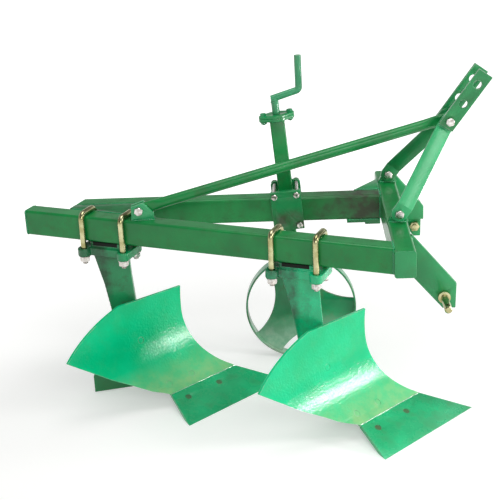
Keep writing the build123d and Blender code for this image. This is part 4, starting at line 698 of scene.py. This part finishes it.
# painted shade: the hollow's faces are nearly black, for the shade under the beam, and matt with dark dust
# patches
hollow_painted_shade = enamel("painted_shade_in_hollow", "#101a10", "#0a110a", "#221d12", 0.7, dusty=0.7, gloss=0.2)
for node, finish, back in (
    ("front_leg", cast_enamel, HEAD_MIDDLE), ("rear_leg", dusty_shaded_cast_enamel, HEAD_MIDDLE + BODY_SPACING),
    ("front_frog", cast_enamel, None), ("rear_frog", dusty_shaded_cast_enamel, None),
):
    steps = []
    if back:
        # the head bears on the beam at its lugs only: between them its top is cast hollow
        hollow = bpy.data.meshes.new("hollow")
        hollow.from_pydata([
            on_beam(back + along, over, up)
            for along in (-HOLLOW_LENGTH / 2, HOLLOW_LENGTH / 2)
            for over in HOLLOW_SIDES
            for up in (-TUBE_DEPTH - HOLLOW_DEPTH, HOLLOW_CUT - TUBE_DEPTH)
        ], [], [(0, 1, 3, 2), (4, 6, 7, 5), (0, 4, 5, 1), (2, 3, 7, 6), (0, 2, 6, 4), (1, 5, 7, 3)])
        cutter = bpy.data.objects.new("hollow", hollow)
        bpy.context.scene.collection.objects.link(cutter)
        steps = [("BOOLEAN", {"operation": "DIFFERENCE", "solver": "EXACT", "object": cutter})]
    mesh = shaped(
        node + "_cast",
        plain_copy(node),
        *steps,
        ("REMESH", {"mode": "VOXEL", "voxel_size": VOXEL}),
        ("SMOOTH", {"factor": 0.5, "iterations": 5}),
    )
    piece(node + "_cast", mesh, "frame", "green_paint", finish, node, sharp=180)
    if back:
        bpy.data.objects.remove(cutter)
        # painted shade: the faces of the hollow, picked below, take the nearly black material
        mesh.materials.append(hollow_painted_shade)
        middle = on_beam(back, 0, -TUBE_DEPTH)
        for polygon in mesh.polygons:
            offset = polygon.center - middle
            along, up = offset.dot(beam_ahead), offset.z
            if abs(along) < HOLLOW_LENGTH / 2 + 0.001 and up > -HOLLOW_DEPTH - 0.002:
                polygon.material_index = 1

# ------------------------------------------------------------------ landsides
# Bars of 80 x 14 mm steel that run along the furrow's wall, fixed to pads on the legs; the front
# one is cut short.  Sprayed with the plates, so they have the same thin pale edges.
for node in ("front_landside", "rear_landside"):
    ground(node, lighter_plate_enamel, edge=0.0015)

# ------------------------------------------------------------------ shares and moldboards
# Moldboards of 8 mm and shares of 12 mm boron steel, pressed and hardened, the shares with a
# ground cutting edge.  The rolled plate is smoother than the castings, so the same enamel flows
# out with soft ripples and no grain.  The moldboards are painted pale yellow green along their
# low edges, a painted reflection of the pale floor.
# painted reflection of the floor: a pale yellow green band low down on the moldboards
board_enamel = enamel(
    "green_enamel_on_rolled_sheet_painted_reflection", "#02d392", "#02c382", "#6fae5c", 0.15,
    dusty=0.1, peel_mm=3.5, peel=0.85, edge_mm=5.0, worn=0.7, gloss=0.22,
    painted_light_patch=("Z", -0.29, -0.37, 0.6, "#b2cf8e"),
)
# the shares' coat is duller than the moldboards', with olive dust on it
share_enamel = enamel(
    "green_enamel_on_share", "#2ac484", "#1fac70", "#5f7a42", 0.27,
    dusty=0.3, peel_mm=3.0, edge_mm=1.6, worn=0.7,
)
for body in ("front", "rear"):
    ground(f"{body}_share", share_enamel, edge=0.0010)
    ground(f"{body}_moldboard", board_enamel, edge=0.0012)

# ------------------------------------------------------------------ plough bolts
# Flat-headed M12 plough bolts lie flush in the plates and are painted over with them; the
# brown of the black steel shows through on their heads.  Their nuts are behind the frogs.
head_enamel = enamel(
    "thin_enamel_on_bolt_head", "#2c8a57", "#4a6b45", "#6b5a3a", 0.38,
    dusty=0.9, peel_mm=1.5, edge_mm=1.2, worn=0.7,
)
# each profile is (radius, distance along the bolt) from its inner end, this deep below the face
HEAD_PROFILE = (
    (0.0092, 0), (0.0100, 0.0010), (0.0100, 0.0030), (0.0094, 0.0037), (0.0060, 0.0040), (0.0, 0.0041),
)
HEAD_DEPTH = 0.0040
SHANK_PROFILE = ((0.0052, 0), (0.0060, 0.0008), (0.0060, 0.0205))
SHANK_DEPTH = 0.0240
for body in ("front", "rear"):
    heads = {"share": ([], []), "moldboard": ([], [])}
    for points, middle, normal in solids_of(f"{body}_plough_bolts"):
        # the share lies at 20 degrees, the moldboard steeper wherever it has a bolt
        shell = heads["share" if normal.z > 0.9 else "moldboard"]
        turned(shell, middle - normal * HEAD_DEPTH, normal, HEAD_PROFILE, sides=40)
        turned(shell, middle - normal * SHANK_DEPTH, normal, SHANK_PROFILE)
    for plate, finish in (("share", head_enamel), ("moldboard", board_enamel)):
        name = f"{body}_{plate}_bolts_made"
        piece(name, shell_mesh(name, heads[plate]), "frame", "green_paint", finish, f"{body}_plough_bolts")

# ------------------------------------------------------------------ lips of the moldboards
# Where a moldboard meets its share its lower lip is ground flush after hardening, so the enamel
# has not held there and a line of bright steel shows, broken where paint lies in it.
lip_steel = plated("ground_steel_lip", "#eef2ee", "#a8bcae", "#c9d6cc", 0.3, 5.0)
LIP_RADIUS = 0.0013
SHARE_EDGE = 0.416            # length of the cutting edge
LIP_BACK = 0.1295             # lip from the cutting edge, measured level
LIP_RISE = 0.0466             # and above the floor
LIP_ENDS = (0.104, 0.376)     # along the cutting edge from its tip
edge_run = Vector((-math.sqrt(0.5), -math.sqrt(0.5), 0))
edge_back = Vector((-math.sqrt(0.5), math.sqrt(0.5), 0))
for body in ("front", "rear"):
    share_low, share_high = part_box(f"{body}_share")
    tip = Vector((share_high.x, share_low.y - SHARE_EDGE * edge_run.y, share_low.z))
    start = tip + edge_run * LIP_ENDS[0] + edge_back * LIP_BACK + Vector((0, 0, LIP_RISE))
    length = LIP_ENDS[1] - LIP_ENDS[0]
    shell = ([], [])
    turned(shell, start, edge_run, [
        (LIP_RADIUS * (0.82 + 0.22 * math.sin(length * k * 9) * math.sin(k * 1.7)), length * k / 60)
        for k in range(61)
    ], sides=12)
    name = f"{body}_moldboard_lip"
    piece(name, shell_mesh(name, shell), "frame", "green_paint", lip_steel)

# ------------------------------------------------------------------ U-bolts
# Four U-bolts of 18 mm bar go over the main beam and down through the lugs of the legs, bent hot
# round a former and zinc plated, yellow passivated; bright zinc washers and nuts close them below.
UBOLT_ROD = 0.018
UBOLT_BEND = 0.019
UBOLT_PLAY = 0.0008           # between the bar and the beam's side
NUT_HEIGHT = 0.015
NUT_CORNER = 0.0153
WASHER = 0.003
WASHER_PROFILE = ((0.0166, 0), (0.0171, 0.0005), (0.0171, WASHER - 0.0005), (0.0166, WASHER))
THREAD_OUT = 0.008
SQUARE_TO_BEAM = Matrix.Rotation(math.pi / 2 - BEAM_TURN, 4, "Z")
for body in ("front", "rear"):
    for place in ("fore", "aft"):
        node = f"{body}_{place}_u_bolt"
        low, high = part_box(node)
        middle = (low + high) / 2
        half = TUBE / 2 + UBOLT_ROD / 2 + UBOLT_PLAY
        top = high.z - UBOLT_ROD / 2
        nut_face = low.z + THREAD_OUT + NUT_HEIGHT + WASHER
        path = [Vector((-half, 0, nut_face - WASHER)), Vector((-half, 0, top - UBOLT_BEND))]
        for sign in (-1, 1):
            for step in range(1, 13):
                turn = math.pi / 2 * step / 12
                out, up = math.cos(turn), math.sin(turn)
                if sign > 0:
                    out, up = up, out
                reach = half - UBOLT_BEND + UBOLT_BEND * out
                path.append(Vector((sign * reach, 0, top - UBOLT_BEND + UBOLT_BEND * up)))
        path.append(Vector((half, 0, nut_face - WASHER)))
        rings = []
        for i, point in enumerate(path):
            ahead = (path[min(i + 1, len(path) - 1)] - path[max(i - 1, 0)]).normalized()
            side = Vector((0, 1, 0))
            up = ahead.cross(side)
            rings.append([
                point + side * math.cos(turn) * UBOLT_ROD / 2 + up * math.sin(turn) * UBOLT_ROD / 2
                for turn in (math.tau * k / 28 for k in range(28))
            ])
        place_it = Matrix.Translation(Vector((middle.x, middle.y, 0))) @ SQUARE_TO_BEAM
        bar, nuts = ([], []), ([], [])
        skin(bar, [[place_it @ point for point in ring] for ring in rings])
        down = Vector((0, 0, -1))
        for sign in (-1, 1):
            spot = place_it @ Vector((sign * half, 0, nut_face))
            turned(nuts, spot, down, WASHER_PROFILE)
            spot = spot + down * WASHER
            hexagon(nuts, spot, down, NUT_CORNER, NUT_HEIGHT, both=True, turn=0.5 + 0.4 * sign)
            spot = spot + down * NUT_HEIGHT
            thread(nuts, spot, down, UBOLT_ROD / 2 - 0.0004, THREAD_OUT, 0.0025)
        name = node + "_bar"
        piece(name, shell_mesh(name, bar), "frame", "yellow_zinc", yellow_zinc, node)
        name = node + "_nuts"
        piece(name, shell_mesh(name, nuts), "frame", "bright_zinc", bright_zinc, node)

# ------------------------------------------------------------------ wheel post and its clamp
# A square tube leans against the side beam, held between two plates by four M12 bolts.  An oval
# flange is welded round its top and a matching cap with the screw's bearing is bolted on it.
screw = next(joint for joint in frame["joints"] if joint["name"] == "crank_turn")
lean = Vector(screw["axis"])
post_place = Vector(screw["pos_m"])
post_ahead = Vector((lean.z, 0, -lean.x))
# painted shade: the side beam's nearly black brown carries on over the lower part of the clamp plate,
# which is also a little duller
clamp_enamel = enamel(
    "clamp_enamel_with_painted_shade", "#0c9a56", "#098648", "#46582f", 0.36,
    dusty=0.4, worn=0.75, painted_light_patch=("Z", 0.165, 0.13, 0.8, "#3a3020"),
)
for node, finish, edge in (
    ("wheel_post", frame_enamel, 0.0006),
    ("post_flange", lighter_plate_enamel, 0.0016),
    ("post_cap", lighter_plate_enamel, 0.0020),
    ("wheel_clamp_plate", clamp_enamel, 0.0014),
    ("wheel_clamp_back_plate", lighter_plate_enamel, 0.0014),
    ("wheel_clamp_liner", lighter_plate_enamel, 0.0010),
):
    ground(node, finish, edge=edge)
hex_bolts("wheel_clamp_bolts", *M12, RIGHT, bright_zinc, "bright_zinc", spare=0.004)
hex_bolts("post_cap_bolts", 0.012, 0.008, 0.008, (0, 0, 1), weld_enamel, "green_paint", spare=0.003)
POST_HALF = 0.023
POST_TOP = 0.240
FLANGE_PLATE = 0.009
FLANGE_BEAD_LOW = 0.0005
under_flange = post_place + lean * (POST_TOP - FLANGE_PLATE - FLANGE_BEAD_LOW)
welds("post_flange_welds", [(
    [
        under_flange + post_ahead * POST_HALF * along + Vector((0, POST_HALF * over, 0))
        for along, over in ((-1, -1), (1, -1), (1, 1), (-1, 1))
    ], True,
)], size=0.0035)

# ------------------------------------------------------------------ crank
# The depth screw's plain end comes up through the cap, and a 22 mm bar bent up into a grip is
# welded across it.  Hands have rubbed it, so its coat is duller and paler than the frame's.
crank_enamel = enamel(
    "handled_enamel_on_bar", "#3fa573", "#258a58", "#7d9470", 0.4,
    dusty=0.5, edge_mm=1.5, worn=0.6, peel=0.2,
)
mesh = frame["nodes"]["crank"].data
mesh.materials.clear()
mesh.materials.append(crank_enamel)
STUB_RADIUS = 0.0118
STUB_JOINT = 0.291            # middle of the joint, up the screw's line
STUB_SLANT = 0.004            # the joint's front is this much higher, and its rear this much lower
shell = ([], [])
for part in range(16):
    spots = [
        post_place
        + lean * (STUB_JOINT + STUB_SLANT * math.cos(turn))
        + post_ahead * STUB_RADIUS * math.cos(turn)
        + Vector((0, STUB_RADIUS * math.sin(turn), 0))
        for turn in (math.tau * k / 16 for k in (part, part + 1))
    ]
    bead(shell, spots, 0.0032)
piece("crank_weld", shell_mesh("crank_weld", shell), "crank", "green_paint", crank_enamel, sharp=60)

# ------------------------------------------------------------------ inner leg and axle
# A square bar slides in the post and carries the wheel on a bright zinc axle bolt.  It is sprayed
# with the frame, and its sharp corners are only just broken.
ground("wheel_leg", frame_enamel, edge=0.0008, body="wheel_leg")
ground("wheel_axle", bright_zinc, edge=0.0008, body="wheel_leg", slot="bright_zinc")

# ------------------------------------------------------------------ gauge wheel
# A 40 mm strip rolled into a rim, a flame-cut web with three openings, and a turned hub, welded up
# and sprayed.  It has stood and rolled on concrete, so its edges are scuffed brown.  Its green is
# painted light, and the part near the floor is paler still, as painted light.
# painted light: a light green coat and a pale band over the wheel's lower part
wheel_enamel = enamel(
    "scuffed_enamel_on_wheel_painted_light", "#1aa468", "#128a54", "#6e6a45", 0.3,
    dusty=0.45, edge_mm=4.5, worn=1.0, bare="#75694c", painted_light_patch=("Z", -0.27, -0.36, 0.75, "#b4d3bd"),
)
ground("gauge_wheel", wheel_enamel, edge=0.0010, body="gauge_wheel")
wheel_low, wheel_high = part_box("gauge_wheel")
wheel_mid = Vector(((wheel_low.x + wheel_high.x) / 2, 0, (wheel_low.z + wheel_high.z) / 2))
WEB_FACES = (0.547, 0.555)    # the y of the web's two faces
HUB_RADIUS = 0.022
shell = ([], [])
for y in WEB_FACES:
    spots = [
        Vector((wheel_mid.x + HUB_RADIUS * math.cos(turn), y, wheel_mid.z + HUB_RADIUS * math.sin(turn)))
        for turn in (math.tau * k / 24 for k in range(24))
    ]
    bead(shell, spots, 0.0035, closed=True)
wheel_beads = shell_mesh("gauge_wheel_welds", shell)
piece("gauge_wheel_welds", wheel_beads, "gauge_wheel", "green_paint", weld_enamel, sharp=60)

# ------------------------------------------------------------------ floor, light and camera
# A pale painted floor and four softboxes, as in a small studio: one overhead, one beside the
# camera, one high on the right and a low one ahead of the shares.  The matt floor also glows for
# camera and glossy rays, painted light that makes it read nearly white, while it keeps the
# plough's soft shadow.
floor_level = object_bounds()[0][2]
paper = bpy.data.materials.new("pale_floor_with_painted_glow")
paper.use_nodes = True
tree = paper.node_tree
shader = tree.nodes["Principled BSDF"]
shader.inputs["Base Color"].default_value = rgb("#dcdcda")
shader.inputs["Roughness"].default_value = 0.9
ray = add_node(tree, "LightPath").node
camera_ray, glossy_ray = ray.outputs["Is Camera Ray"], ray.outputs["Is Glossy Ray"]
seen = add_node(tree, "Math", {"operation": "MAXIMUM"}, {0: camera_ray, 1: glossy_ray})
# painted light: the floor's glow is strongest away from the plough, where no shadow falls
spot = add_node(tree, "TexCoord").node.outputs["Object"]
under_plough = {"operation": "DISTANCE", 1: (-0.5, 0.1, 0.0)}
away = add_node(tree, "VectorMath", under_plough, {0: spot}).node.outputs["Value"]
whiter = {"From Min": 0.9, "From Max": 2.6, "To Min": 0.4, "To Max": 0.95}
white = add_node(tree, "MapRange", whiter, {"Value": away})
lift = add_node(tree, "Math", {"operation": "MULTIPLY"}, {0: seen, 1: white})
shader.inputs["Emission Color"].default_value = rgb("#ffffff")
tree.links.new(lift, shader.inputs["Emission Strength"])
bpy.ops.mesh.primitive_plane_add(size=40, location=(0, 0, floor_level))
floor = bpy.context.object
floor.name = "studio_floor"
floor.data.materials.append(paper)

AMBIENT = 0.42                # light that comes evenly from the room
world = bpy.data.worlds.new("studio")
bpy.context.scene.world = world
world.use_nodes = True
tree = world.node_tree
ray = add_node(tree, "LightPath").node
camera_ray, glossy_ray = ray.outputs["Is Camera Ray"], ray.outputs["Is Glossy Ray"]
# a mirror finds the wall white near the horizon and darker up towards the ceiling
height = add_node(tree, "SeparateXYZ", {}, {0: add_node(tree, "TexCoord")}).node.outputs["Z"]
darker = {"From Min": 0.1, "From Max": 0.4, "To Min": 0.9, "To Max": 0.22}
wall = add_node(tree, "MapRange", darker, {"Value": height})
lit = add_node(tree, "Mix", {"data_type": "FLOAT", 2: AMBIENT}, {0: glossy_ray, 3: wall})
level = add_node(tree, "Mix", {"data_type": "FLOAT", 3: 1.0}, {0: camera_ray, 2: lit})
background = tree.nodes["Background"]
background.inputs["Color"].default_value = rgb("#ffffff")
tree.links.new(level, background.inputs["Strength"])


def softbox(name, place, target, size, watts):
    """A square-cornered softbox that looks at a target and stays out of the picture."""
    light = bpy.data.lights.new(name, "AREA")
    light.shape = "RECTANGLE"
    light.size, light.size_y = size
    light.energy = watts
    lamp = bpy.data.objects.new(name, light)
    lamp.visible_camera = False
    lamp.location = place
    lamp.rotation_euler = (Vector(target) - Vector(place)).to_track_quat("-Z", "Y").to_euler()
    bpy.context.scene.collection.objects.link(lamp)


# the low lamp ahead of the shares draws the bright band across each moldboard
softbox("low_softbox_ahead", (1.5, -0.08, 0.12), (-0.4, 0.05, -0.2), (0.42, 0.15), 17)
softbox("softbox_high_right", (1.25, -0.60, 1.25), (-0.1, 0.2, 0.2), (0.7, 0.7), 9)
softbox("front_softbox", (0.1, -2.6, 1.6), (-0.5, 0.2, -0.1), (1.4, 1.0), 24)
softbox("overhead_softbox", (-0.6, 0.2, 2.6), (-0.5, 0.2, 0.0), (1.6, 1.6), 26)

# the camera stands 3 m out on the right, tipped down, and turned left and rolled a little
EYE_PLACE = (-0.4212, -2.9904, 1.3363)
SENSOR = 36.0
LENS = 81.9432
YAW, PITCH, ROLL = (math.radians(angle) for angle in (2.52, 21.157, 2.675))
ahead = Vector((-math.sin(YAW) * math.cos(PITCH), math.cos(YAW) * math.cos(PITCH), -math.sin(PITCH)))
level = Vector((math.cos(YAW), math.sin(YAW), 0))
down = ahead.cross(level)
right = math.cos(ROLL) * level + math.sin(ROLL) * down
below = -math.sin(ROLL) * level + math.cos(ROLL) * down
lens = bpy.data.cameras.new("camera")
lens.sensor_width = SENSOR
lens.lens = LENS
camera = bpy.data.objects.new("camera", lens)
rotation = Matrix((right, -below, -ahead)).transposed()
camera.matrix_world = Matrix.Translation(EYE_PLACE) @ rotation.to_4x4()
bpy.context.scene.collection.objects.link(camera)
bpy.context.scene.camera = camera
bpy.context.scene.view_settings.view_transform = "Standard"
